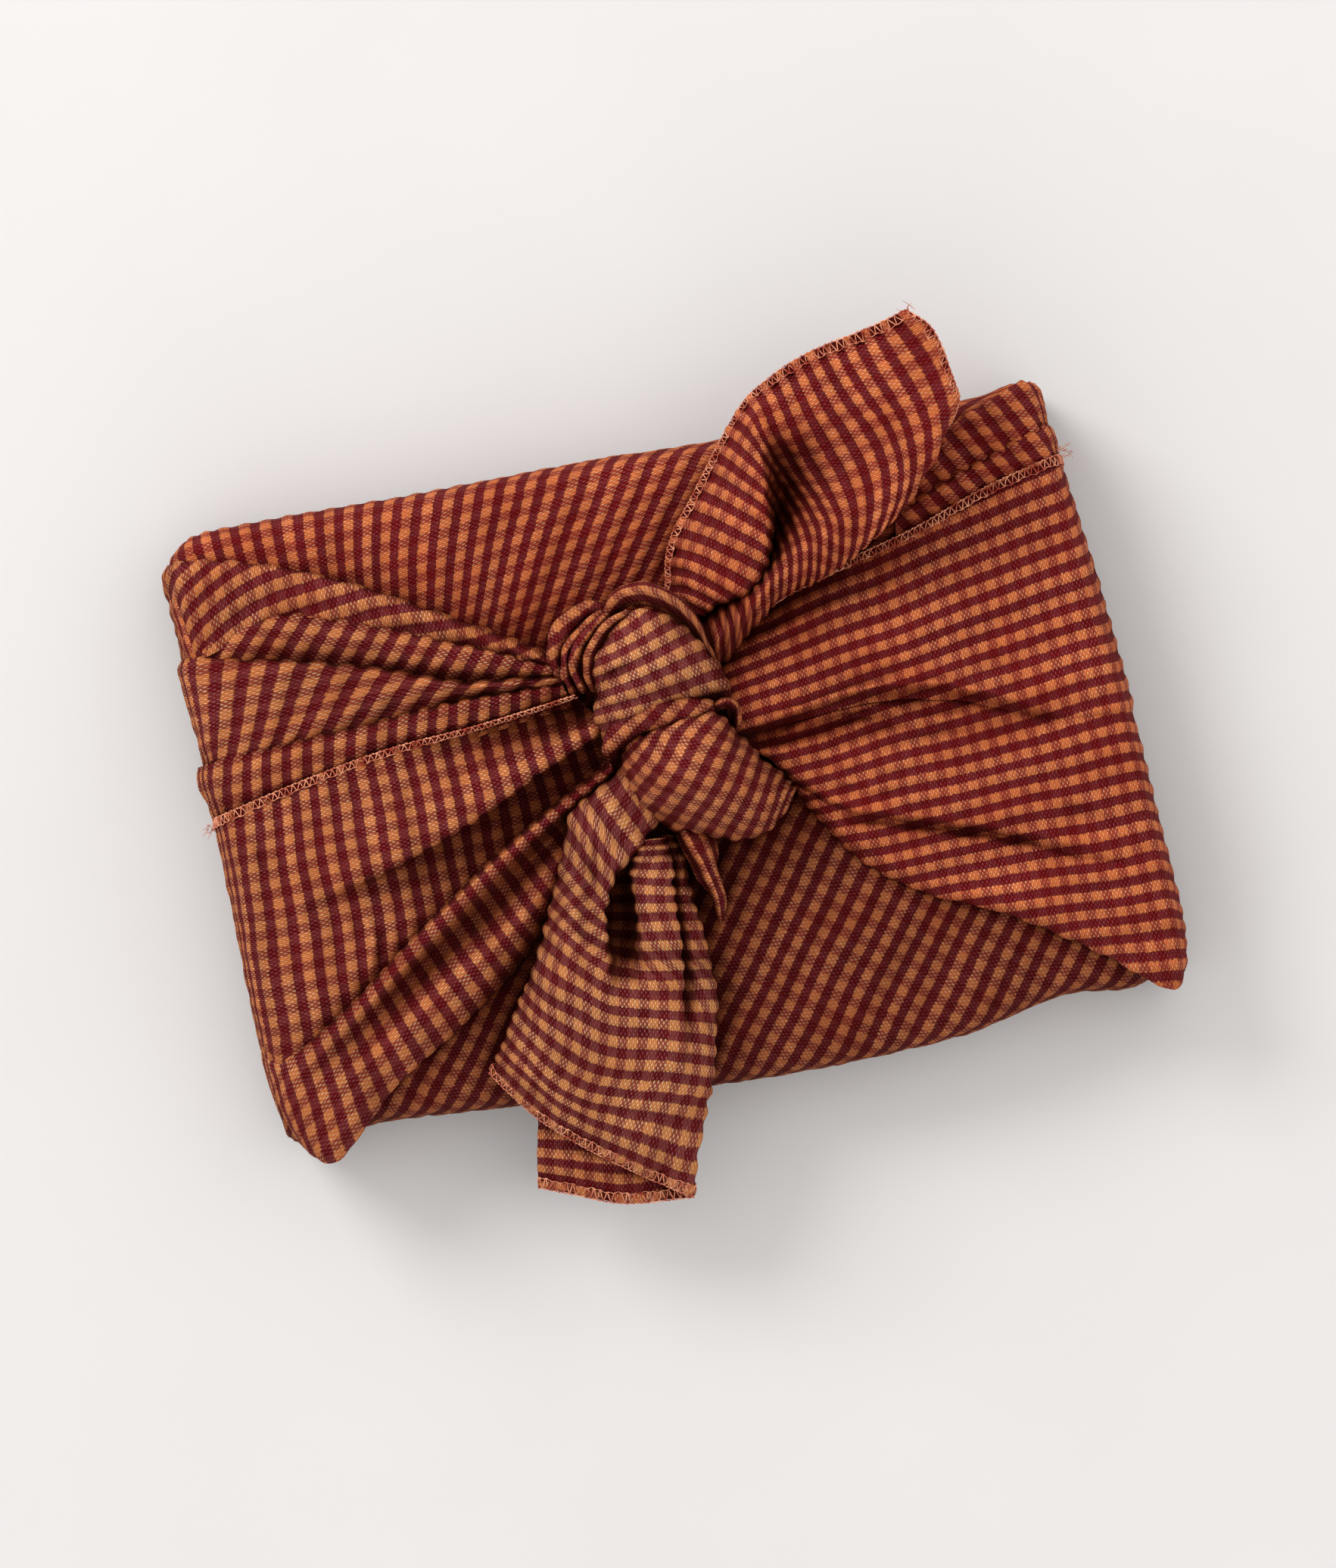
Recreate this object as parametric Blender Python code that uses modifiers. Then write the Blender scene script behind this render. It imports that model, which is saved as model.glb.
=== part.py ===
"""A furoshiki: one square cloth wrapped round a flat parcel and tied on top with its two free ends.

Millimetres in the tables, metres in the scene. X runs along the parcel, Y to its back, Z up, and the origin
is under the middle of the parcel. The whole cloth, with the flat parcel that it is drawn tight round, is one
closed solid, because it is one piece of cloth.
"""

import bmesh
import bpy
import numpy as np

MM = 0.001

# The parcel under the cloth, as the cloth's outside measures.
PARCEL_TOP = 41.0  # height of the front and back panels
HALF_LENGTH = 139.0
HALF_WIDTH = 95.0
FOOT_SHARE = 0.965
FOOT_HEIGHT = 3.0
INWARD = (0.93, 0.9, 0.72)  # a flap's solid reaches into the parcel to these shares of its face
TAIL_SHEET = 2.4  # the doubled, hemmed ends
KNOT_FOOT = 38.0  # the knot's lobes reach down into the parcel to here

# Outline of the parcel seen from above, anticlockwise from the front left corner: (x, y).
OUTLINE = (
    (-133, -90), (-112, -88), (-80, -91), (-40, -95), (0, -97), (60, -97.5), (100, -94), (124, -94),
    (133, -89), (136, -60), (137, -20), (136, 10), (133, 40), (130, 70), (128, 84), (110, 86.5),
    (60, 89), (0, 91.5), (-60, 94), (-110, 96), (-131, 94.5), (-137, 86), (-137, 50), (-138, 10),
    (-139, -40), (-140, -75), (-138, -87),
)
# The parcel's wall and top, from the floor up: (how far in from the outline, height).
PROFILE = ((3.5, 0), (0.8, 3), (0, 16), (0, 30), (1.2, 36), (4, 39.2), (10, 40.6), (30, 41), (60, 41.6))

# A flap is drawn from a wall over the top to the knot. Each row is one line of the cloth, a fold's crest or
# foot or an edge. Its points, as (x, y, height), are high on the wall, at the shoulder, at the stations over
# the top, and at the knot. It starts at the wall's foot, tucked in to FOOT_SHARE of the wall's own place.
LEFT_FLAP = {
    "fold foot": ((-130, -93, 28), (-127, -95.5, 39), (-103, -79, 40), (-80, -64.5, 40),
                  (-57, -47, 41), (-22, -12, 45)),
    "fold top": ((-134, -91, 28), (-129, -92.5, 43.5), (-105, -75.5, 47), (-82, -60.5, 48.5),
                 (-60, -43, 50), (-20, -7, 55)),
    "lobe": ((-140.5, -80, 28), (-134, -77, 44), (-110, -65, 49), (-86, -50, 51),
             (-62, -32, 52), (-19, -3, 57)),
    "ridge": ((-141, -66, 28), (-134, -63, 43.5), (-112, -52.5, 48), (-88, -37, 52),
              (-62, -20.5, 54), (-19, 3.5, 58)),
    "valley": ((-141, -50, 28), (-134, -48, 43), (-112, -43, 44), (-88, -29, 45),
               (-62, -13, 45), (-20, 6.5, 48)),
    "second roll": ((-140.5, -30, 28), (-133, -29, 43), (-110, -22, 45.5), (-86, -10, 47.5),
                    (-60, -1, 49.5), (-20, 11, 56)),
    "middle": ((-140, -10, 28), (-133, -9, 43), (-108, -4, 45.5), (-84, 3, 47.5),
               (-58, 9, 49), (-21, 16, 54)),
    "edge": ((-140, 12, 28), (-134, 13.2, 43), (-108, 18.5, 46), (-84, 21.5, 47),
             (-58, 22.7, 48.5), (-27, 26, 51)),
}
LEFT_PLEAT = {
    "under": ((-140, 9, 28), (-133, 10, 42), (-108, 14, 43.5), (-84, 17, 44.5),
              (-58, 19, 46), (-27, 23, 49)),
    "crest": ((-142.5, 27, 28), (-137, 28, 42.5), (-110, 28, 46), (-84, 28.8, 47.5),
              (-58, 29.5, 49), (-30, 29, 52)),
    "foot": ((-139.6, 31, 28), (-134, 31.5, 41), (-110, 31, 42), (-84, 31.5, 42.5),
             (-58, 32, 44), (-30, 31.5, 47)),
}
LEFT_SECOND_LAYER = {
    "under": ((-139.3, 25, 28), (-133, 26, 41.5), (-110, 26, 42.5), (-84, 26.5, 43),
              (-58, 27.5, 44), (-30, 28, 47)),
    "middle": ((-139.3, 43, 28), (-133, 43, 42.5), (-110, 41, 45), (-84, 37, 46.5),
               (-58, 33, 48), (-30, 29.5, 51)),
    "crest": ((-140, 59, 28), (-134, 58.3, 42.5), (-110, 52.6, 46), (-84, 45.3, 48),
              (-58, 36.2, 49.5), (-30, 31, 52)),
    "foot": ((-138.6, 63, 28), (-133, 61.5, 41), (-110, 56, 41), (-84, 48.5, 42),
             (-58, 39.5, 43), (-30, 33, 47)),
}
LEFT_FIRST_LAYER = {
    "under": ((-138.6, 55, 28), (-132, 55, 41), (-110, 49, 42), (-84, 42, 42.5),
              (-58, 34, 43.5), (-31, 30, 47)),
    "roll": ((-138.8, 67, 28), (-132, 66, 42), (-108, 62, 45.5), (-82, 53, 47.5),
             (-56, 44.5, 49.5), (-31, 33.5, 52)),
    "dip": ((-138.8, 76, 28), (-132, 75, 42.5), (-106, 69, 44), (-80, 60, 45.5),
            (-54, 48, 48.5), (-31, 36, 52)),
    "crest": ((-139.5, 87.5, 28), (-134, 88, 42.5), (-106, 81.5, 46), (-79, 68, 48),
              (-53, 50.5, 50), (-31, 38, 53)),
    "foot": ((-136, 90.5, 28), (-131, 90.5, 40), (-106, 84.5, 40.5), (-79, 71, 41),
             (-53, 53, 42), (-31, 41, 46)),
}
RIGHT_FLAP = {
    "edge": ((133, 64.5, 28), (129, 64.3, 42.5), (108, 60.3, 43.5), (84, 53.3, 44),
             (60, 45, 44.5), (40, 37, 46), (20, 24, 49)),
    "upper": ((135, 45, 28), (130, 44.5, 43), (109, 42, 45.5), (85, 37, 47),
              (61, 30, 48.5), (41, 24, 50.5), (20, 18, 54)),
    "middle": ((137, 22, 28), (132, 22, 43), (110, 21, 46), (86, 17, 48),
               (62, 12.5, 50), (42, 11, 52), (21, 12, 56)),
    "crest": ((138.5, -14, 28), (134, -14, 43), (112, -8, 46.5), (88, 3, 50),
              (62, 7, 52), (42, 7.2, 54), (21, 8.5, 57)),
    "trough": ((138.5, -20, 28), (134, -20, 43), (112, -15, 45), (88, -7, 47),
               (62, -3.5, 48), (42, 0, 49), (23, 2, 52)),
    "belly": ((138.5, -40, 28), (134, -39, 43), (112, -33, 46.5), (88, -22, 50),
              (62, -16, 51.5), (44, -11, 52), (26, -3, 53)),
    "second crest": ((139, -62, 28), (134, -61, 43), (113, -52, 46), (89, -39.5, 48.5),
                     (64, -30, 50), (47, -22, 50.5), (28, -6, 51)),
    "fold top": ((138, -90, 28), (132, -91, 43), (111, -77, 45.5), (88, -62, 46.5),
                 (66, -51, 47.5), (50, -38, 48), (32, -12, 49)),
    "fold foot": ((134, -97, 28), (130, -97.5, 39), (110, -80.5, 40), (87, -65.5, 40),
                  (64, -54, 40.5), (48, -42, 41), (33, -18, 43)),
}
# Two tucks of the gusset at the back right corner, under the flap: rows and points as above.
CORNER_TUCK = {
    "front": ((130.4, 60, 28), (126, 60, 41.5), (108, 55, 42), (92, 48, 42), (80, 42, 42)),
    "middle": ((130.6, 66, 28), (126, 66, 42.3), (110, 65, 43.5), (94, 62, 43.5), (80, 55, 43)),
    "crest": ((131, 73, 28), (127, 73, 43), (113, 73, 44.5), (98, 74, 44), (82, 66, 43)),
    "foot": ((129, 77, 28), (125, 77, 40.5), (112, 76.5, 40.5), (96, 77.5, 40), (82, 69, 40)),
}

# The ends of the cloth. Each row is one section across the end, from the knot out to the tip, and its points,
# as (x, y, height), are where the lines of the columns cross it.
# Columns: edge, ridge, valley, roll, fold, under, hidden edge.
BACK_TAIL = (
    ((9, 44, 50), (14, 44, 57), (18, 40, 55), (21, 34, 57), (20, 27, 52), (17, 30, 47), (14, 33, 44)),
    ((8.5, 52, 48), (20, 52, 58), (26, 46, 54), (31, 39, 57), (31, 30, 51), (26, 35, 45), (21, 39, 42)),
    ((17, 68, 46), (37, 60, 60), (42, 54, 54), (47, 48, 59), (48, 38, 52), (43, 46, 45), (38, 50, 42)),
    ((28, 82, 47), (42, 78, 62), (50, 68, 54), (60, 60, 61), (66, 44, 53), (59, 53, 46), (53, 58, 43)),
    ((42, 98, 52), (45, 93, 61), (56, 84, 56), (74, 70, 64), (82, 55, 56), (75, 62, 49), (69, 68, 46)),
    ((58, 106.5, 58), (62, 101, 62), (70, 93, 62), (86, 80, 68), (93, 67, 61), (89, 72, 54), (83, 77, 51)),
    ((77, 111, 64), (80, 106, 67), (85, 99, 68), (95, 91, 71), (101, 79, 66), (98, 80, 60), (93, 84, 57)),
    ((96, 113.5, 70), (98, 110, 71), (100, 105, 72), (103, 97, 72), (105.5, 87, 69), (104, 85, 64), (101, 87, 60)),
)
# Columns: left fold, crest, hollow, step, pleat, pleat foot, right fold.
FRONT_TAIL = (
    ((-18, 0, 52), (-22, -6, 60), (-21, -12, 58), (-17, -15, 57), (-13, -17, 57), (-10, -18, 55), (-7, -19, 52)),
    ((-34, -9, 51), (-29, -16, 60), (-24, -23, 56), (-19, -24, 54), (-14, -25, 58), (-9, -26, 55), (-6, -27, 51)),
    ((-41, -27, 49), (-34, -32, 60), (-28, -35, 50), (-22, -36, 48), (-15, -36, 58), (-9, -37, 53), (-5, -38, 50)),
    ((-50, -42, 48), (-42, -46, 60), (-33, -49, 54), (-23, -49, 50), (-15, -49, 58), (-9, -50, 53), (-4, -51, 49)),
    ((-59, -57, 47), (-49, -60, 58), (-38, -62, 57), (-26, -62, 56), (-16, -62, 57), (-9, -62, 54), (-3.5, -63, 48)),
    ((-66, -67, 46), (-56, -73, 55), (-44, -77, 56), (-32, -79, 55), (-21, -79, 54), (-12, -79, 52), (-5.5, -80, 46)),
    ((-71.5, -74, 45), (-62, -84, 51), (-49, -90, 52), (-37, -95, 50), (-27, -98, 48), (-19, -100, 46), (-12, -101, 41)),
    ((-74.5, -79, 43), (-66, -92, 45), (-55, -104, 44), (-44, -113.5, 42), (-36, -119.5, 39), (-29, -124.5, 37),
     (-22.5, -128.5, 34)),
)
# The layer behind the front end. Columns: left fold, middle, right fold.
FRONT_TAIL_BACK = (
    ((-50, -66, 45), (-30, -66, 47), (-8, -66, 46)),
    ((-62, -84, 43), (-36, -84, 45), (-10, -84, 44)),
    ((-65, -97, 39), (-40, -100, 41), (-14, -103, 39)),
    ((-67, -108, 35), (-45, -112, 38), (-18, -115, 36)),
    ((-68, -117, 31), (-47, -124, 34), (-22.5, -130, 33)),
)

# The knot. Each lobe is drawn as arches over it, and each row is one arch from foot to foot.
KNOT_LOBES = {
    "upper lobe": (
        ((-16, 22, 50), (-12, 20, 62), (0, 16, 66), (13, 13, 64), (20, 11, 50)),
        ((-20, 27, 50), (-15, 27, 66), (-1, 24, 71), (12, 21, 69), (19.5, 18, 50)),
        ((-21, 33, 50), (-16, 34, 66), (-2, 33, 72), (11, 30, 69), (18.5, 26, 50)),
        ((-18, 41, 50), (-14, 41, 63), (-2, 41, 69), (9, 38, 67), (16, 35, 50)),
        ((-11, 48, 50), (-8, 47, 59), (-1, 47.5, 63), (6, 46, 61), (11.5, 44, 50)),
        ((-6, 52, 48), (-4, 51.5, 52), (0, 52.5, 53), (4, 51, 52), (7, 50, 48)),
    ),
    "middle lobe": (
        ((-15, 4, 50), (-19, 8, 56), (-20.5, 15, 58), (-20.5, 21, 56), (-20, 26, 50)),
        ((-13, 3, 52), (-14, 7, 66), (-15, 14, 68.5), (-15.5, 21, 67), (-15, 25.5, 58)),
        ((-6, 4, 56), (-6, 9, 70.5), (-7, 14, 73), (-8, 20, 72), (-8, 24, 62)),
        ((2, 5, 56), (2, 9, 70.5), (1, 12.5, 72), (0, 16, 71), (-1, 19, 62)),
        ((9, 6, 54), (9, 9, 66), (8, 11, 67), (7, 12.5, 66), (6, 14, 60)),
    ),
    "lower lobe": (
        ((-16, -1, 50), (-14, 2, 58), (-11, 7, 62), (-9, 9, 60), (-7, 10, 54)),
        ((-15, -9, 50), (-11, -6, 64), (-5, 2, 69), (0, 8, 67), (4, 10, 56)),
        ((-10, -17, 50), (-5, -12, 66), (3, -4, 72), (11, 5, 69), (16, 10, 54)),
        ((0, -22, 50), (5, -16, 66), (12, -8, 70), (18, 0, 66), (21, 4, 52)),
        ((12, -27.5, 49), (15, -21, 61), (20, -14, 64), (24, -8, 61), (25, -4, 50)),
        ((24, -25.5, 47), (25, -21, 54), (28, -16.5, 56), (30, -12.5, 54), (29, -10, 47)),
        ((30, -19, 44), (30.5, -18, 47), (31.5, -15.5, 48), (32, -14, 47), (31.5, -13, 44)),
    ),
}
# Narrow bands of cloth that turn round the lobes: points along each as (x, y, height), and its half thickness.
KNOT_BANDS = {
    "outer band": (4.2, ((-24, 26, 50), (-27, 33, 56), (-26.5, 40, 59), (-22, 46, 60), (-14, 48.5, 59), (-7, 46, 56))),
    "inner band": (4.0, ((-19.5, 25.5, 53), (-22.5, 31, 60), (-21, 38, 63), (-16, 44, 63), (-9, 47, 60), (-3, 45, 57))),
    "right band": (3.2, ((6, 13, 60), (12, 13.5, 63), (17.5, 12, 61), (18.5, 7, 58), (16.5, 2, 55))),
    "twisted end": (3.2, ((-5, -17, 54), (0, -24, 54), (2.5, -32, 53), (3, -41, 50), (2, -48, 46))),
}


def clear_scene():
    for old in list(bpy.data.objects):
        bpy.data.objects.remove(old)


def smooth_line(points, steps):
    """Points on a smooth curve through the given ones, with this many steps from each to the next."""
    through = np.asarray(points, float)
    ends = np.vstack([2 * through[0] - through[1], through, 2 * through[-1] - through[-2]])
    share = (np.arange(steps) / steps)[:, None]
    made = []
    for a, b, c, d in zip(ends, ends[1:], ends[2:], ends[3:]):
        bend = (2 * a - 5 * b + 4 * c - d) * share**2 + (3 * b - a - 3 * c + d) * share**3
        made.append(b + 0.5 * ((c - a) * share + bend))
    return np.vstack([*made, through[-1:]])


def loft(rows, along, across):
    """A grid of points through the rows: along steps from row to row, across steps from point to point."""
    lines = np.array([smooth_line(row, across) for row in rows])
    columns = [smooth_line(lines[:, j], along) for j in range(lines.shape[1])]
    return np.array(columns).transpose(1, 0, 2)


def mesh_object(name, points, faces, collection):
    mesh = bpy.data.meshes.new(name)
    mesh.from_pydata([tuple(p * MM) for p in points], [], faces)
    made = bpy.data.objects.new(name, mesh)
    collection.objects.link(made)
    return made


def grid_faces(rows, columns):
    return [
        (i * columns + j, i * columns + j + 1, (i + 1) * columns + j + 1, (i + 1) * columns + j)
        for i in range(rows - 1)
        for j in range(columns - 1)
    ]


def make_closed(made):
    """Turns every face of a closed mesh to point out."""
    solid = bmesh.new()
    solid.from_mesh(made.data)
    bmesh.ops.recalc_face_normals(solid, faces=solid.faces)
    solid.to_mesh(made.data)
    solid.free()


def parcel(collection):
    """The wrapped parcel: its outline, drawn in and raised ring by ring, over a flat base."""
    outline = smooth_line([*OUTLINE, OUTLINE[0]], 2)[:-1]
    count = len(outline)
    rings = []
    for inset, height in PROFILE:
        drawn_in = outline * (1 - inset / HALF_LENGTH, 1 - inset / HALF_WIDTH)
        rings.append(np.column_stack([drawn_in, np.full(count, float(height))]))
    points = np.vstack([*rings, [(0, 0, PARCEL_TOP + 1)]])
    faces = [tuple(reversed(range(count)))]
    for ring in range(len(rings) - 1):
        for i in range(count):
            low, high, after = ring * count, (ring + 1) * count, (i + 1) % count
            faces.append((low + i, low + after, high + after, high + i))
    last, middle = (len(rings) - 1) * count, len(points) - 1
    faces += [(last + i, last + (i + 1) % count, middle) for i in range(count)]
    return mesh_object("furoshiki_wrap", points, faces, collection)


def sheet(name, rows, thickness, steps, collection):
    """A free end of the cloth: a sheet through the rows, made solid by this thickness."""
    grid = loft(rows, *steps)
    count, width = grid.shape[:2]
    made = mesh_object(name, grid.reshape(-1, 3), grid_faces(count, width), collection)
    solid = made.modifiers.new("thickness", "SOLIDIFY")
    solid.thickness = thickness * MM
    solid.offset = -1
    return made


def flap(name, lines, steps, collection):
    """A part of the cloth drawn over the parcel: the surface through its lines, carried into the parcel."""
    rows = [((FOOT_SHARE * line[0][0], FOOT_SHARE * line[0][1], FOOT_HEIGHT), *line) for line in lines.values()]
    grid = loft(rows, *steps)
    count, width = grid.shape[:2]
    made = mesh_object(name, grid.reshape(-1, 3), grid_faces(count, width), collection)
    shape = bmesh.new()
    shape.from_mesh(made.data)
    inner = bmesh.ops.extrude_face_region(shape, geom=shape.faces[:])
    for part in inner["geom"]:
        if isinstance(part, bmesh.types.BMVert):
            part.co = [c * share for c, share in zip(part.co, INWARD)]
    shape.to_mesh(made.data)
    shape.free()
    make_closed(made)
    return made


def lobe(name, arches, steps, collection):
    """A lobe of the knot: the arches' surface, carried down into the parcel."""
    grid = loft(arches, *steps)
    count, width = grid.shape[:2]
    made = mesh_object(name, grid.reshape(-1, 3), grid_faces(count, width), collection)
    shape = bmesh.new()
    shape.from_mesh(made.data)
    down = bmesh.ops.extrude_face_region(shape, geom=shape.faces[:])
    for part in down["geom"]:
        if isinstance(part, bmesh.types.BMVert):
            part.co.z = KNOT_FOOT * MM
    shape.to_mesh(made.data)
    shape.free()
    make_closed(made)
    return made


def band(name, half, points, collection):
    """A rolled band of cloth: a round tube along a smooth line, as a closed mesh."""
    line = smooth_line(points, 2) * MM
    curve = bpy.data.curves.new(name, "CURVE")
    curve.dimensions = "3D"
    curve.bevel_depth = half * MM
    curve.bevel_resolution = 2
    curve.use_fill_caps = True
    spline = curve.splines.new("POLY")
    spline.points.add(len(line) - 1)
    for point, place in zip(spline.points, line):
        point.co = (*place, 1)
    tube = bpy.data.objects.new(name + " line", curve)
    collection.objects.link(tube)
    graph = bpy.context.evaluated_depsgraph_get()
    mesh = bpy.data.meshes.new_from_object(tube.evaluated_get(graph))
    bpy.data.objects.remove(tube)
    shape = bmesh.new()
    shape.from_mesh(mesh)
    bmesh.ops.remove_doubles(shape, verts=shape.verts, dist=0.00001)
    bmesh.ops.recalc_face_normals(shape, faces=shape.faces)
    shape.to_mesh(mesh)
    shape.free()
    made = bpy.data.objects.new(name, mesh)
    collection.objects.link(made)
    return made


def cloth_material():
    material = bpy.data.materials.new("woven cotton check")
    material.use_nodes = True
    surface = material.node_tree.nodes["Principled BSDF"]
    surface.inputs["Base Color"].default_value = (0.33, 0.085, 0.03, 1)
    surface.inputs["Roughness"].default_value = 0.85
    surface.inputs["Metallic"].default_value = 0.0
    return material


def joined(body, pieces):
    """Joins each piece to the body with a Boolean, and leaves the piece as a hidden guide."""
    for piece in pieces:
        piece.hide_render = True
        piece.display_type = "WIRE"
        union = body.modifiers.new(piece.name, "BOOLEAN")
        union.operation = "UNION"
        union.object = piece


def main():
    clear_scene()
    parts = bpy.data.collections.new("furoshiki wrap")
    guides = bpy.data.collections.new("pieces joined into it")
    for collection in (parts, guides):
        bpy.context.scene.collection.children.link(collection)
    body = parcel(parts)
    body.data.materials.append(cloth_material())
    pieces = []
    flaps = {
        "first layer": LEFT_FIRST_LAYER, "second layer": LEFT_SECOND_LAYER, "pleat": LEFT_PLEAT,
        "left flap": LEFT_FLAP, "corner tuck": CORNER_TUCK, "right flap": RIGHT_FLAP,
    }
    for name, lines in flaps.items():
        pieces.append(flap(name, lines, (2, 2), guides))
    for name, arches in KNOT_LOBES.items():
        pieces.append(lobe(name, arches, (2, 2), guides))
    for name, (half, points) in KNOT_BANDS.items():
        pieces.append(band(name, half, points, guides))
    tails = {"back tail": BACK_TAIL, "front tail": FRONT_TAIL, "front tail back": FRONT_TAIL_BACK}
    for name, rows in tails.items():
        pieces.append(sheet(name, rows, TAIL_SHEET, (2, 2), guides))
    joined(body, pieces)


main()
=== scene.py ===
"""A furoshiki, a square wrapping cloth, tied round a flat parcel: the looks of its woven cotton.

The tables are in millimetres in the parcel's own frame: X along the parcel, Y to its back, Z up from the
surface that it rests on. Every panel of the cloth is a surface drawn through named lines, and knows where each
of its points lies on the flat cloth, so that the woven check runs along it as it runs in the cloth.
"""

import math

import bpy
import numpy as np
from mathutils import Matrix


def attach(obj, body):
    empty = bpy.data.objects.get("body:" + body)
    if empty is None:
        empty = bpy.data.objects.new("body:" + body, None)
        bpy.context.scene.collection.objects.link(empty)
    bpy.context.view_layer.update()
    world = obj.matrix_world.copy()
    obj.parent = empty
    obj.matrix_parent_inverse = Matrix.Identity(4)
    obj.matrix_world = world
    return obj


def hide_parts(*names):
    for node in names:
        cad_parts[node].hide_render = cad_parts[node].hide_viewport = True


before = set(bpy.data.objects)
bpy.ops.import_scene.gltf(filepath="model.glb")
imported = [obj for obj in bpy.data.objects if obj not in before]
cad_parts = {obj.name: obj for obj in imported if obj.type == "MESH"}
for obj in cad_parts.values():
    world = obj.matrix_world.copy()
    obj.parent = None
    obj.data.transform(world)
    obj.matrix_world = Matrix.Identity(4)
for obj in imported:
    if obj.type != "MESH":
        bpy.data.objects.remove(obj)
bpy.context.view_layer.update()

MM = 0.001
NODE = "furoshiki_wrap"
PARCEL = "parcel_cloth"
SMALLEST_SIDE = 0.0105  # in metres, of a panel laid flat

# The cloth. Sizes in millimetres of cloth.
STRIPE = 6.1  # warp stripes, one dark and one orange
DARK_SHARE = 0.45
CHECK = 5.9  # weft bands, one gold and one rose
GOLD_SHARE = 0.47
THREAD = 0.62  # drawn a little coarser than the real 0.5, so that single threads show
PUCKER = 2.3  # the crinkles across the dark stripes
SPACING = 1.15  # between a panel's points

# The relief of the crinkled weave in millimetres, before each panel's own share of it.
STRIPE_RELIEF = 0.54
SINK = 0.7  # how deep a dark stripe lies, against how high a light one stands
PUCKER_RELIEF = (0.12, 0.04)  # in the dark stripes and in the light ones
UNEVENNESS = 0.3

# The overlock: the length of one loop, and the radii of its threads and of the cloth's cut edge under it.
LOOP = 2.1
LOOP_RADIUS = 0.17
NEEDLE_RADIUS = 0.16
EDGE_RADIUS = 0.21
BED_RADIUS = 0.34
BED_SHARES = (0.12, 0.31, 0.5, 0.69, 0.86)  # where the cut edge's cords lie across the overlock
LOOSE_RADIUS = 0.13
TUBE_SIDES = 5

# The photograph: its size in pixels, where the parcel's middle lies, its scale, and the parcel's turn in it.
PHOTO_SIZE = (1765, 2072)
PARCEL_MIDDLE_PX = (892, 1002)
PX_PER_MM = 4.4
PARCEL_TURN = 12.5
PARCEL_TOP = 42.0
CAMERA_HEIGHT = 2400.0
SENSOR = 36.0

# Light, in the photograph's own directions: from the parcel, (to the right, up the picture, up), size, power.
WINDOW = ((-1900, 1800, 1900), 1600, 52)
FILL = ((900, 300, 2300), 2200, 6)
SKY = 0.8

# Outline of the parcel seen from above, anticlockwise from the front left corner: (x, y).
OUTLINE = (
    (-133, -90), (-112, -88), (-80, -91), (-40, -95), (0, -99.6), (40, -101), (70, -100), (100, -95),
    (122, -97), (133, -90), (136, -60), (137, -20), (136, 10), (133, 40), (130.5, 70), (129, 86), (126, 88),
    (111, 86.5), (60, 89.5), (20, 91.5), (0, 93), (-60, 94.8), (-110, 97), (-130, 96), (-137, 88), (-137, 50),
    (-138, 10), (-139, -40), (-140, -75), (-138, -87),
)
HALF_SIZE = (139.0, 95.0)
# The parcel's wall and top, from the floor up: (how far in from the outline, height).
PROFILE = (
    (5, 0), (2, 0.9), (0.6, 4), (0, 16), (0, 29), (1.0, 35), (3.6, 38.8), (9, 40.6), (30, 41), (60, 41.5),
    (78, 41.7),
)
SHOULDER_HEIGHT = 38.8
# The parcel's front sinks by a share of its height, growing from one line over some way to the front.
FRONT_SINK = 0.13
SINK_FROM = -52
SINK_WAY = 45
# The stripes of the front panel: their turn in degrees, and how much closer than usual they lie.
FRONT_TURN = 52
FRONT_CLOSER = 1.04
# The flaps' feet, tucked under the parcel: (share of the wall's x and y, height).
FEET = ((0.975, 0.7), (0.996, 4.5))
SHOULDER = 3  # the shoulder's place in a flap's line, after its two feet and its wall

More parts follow.
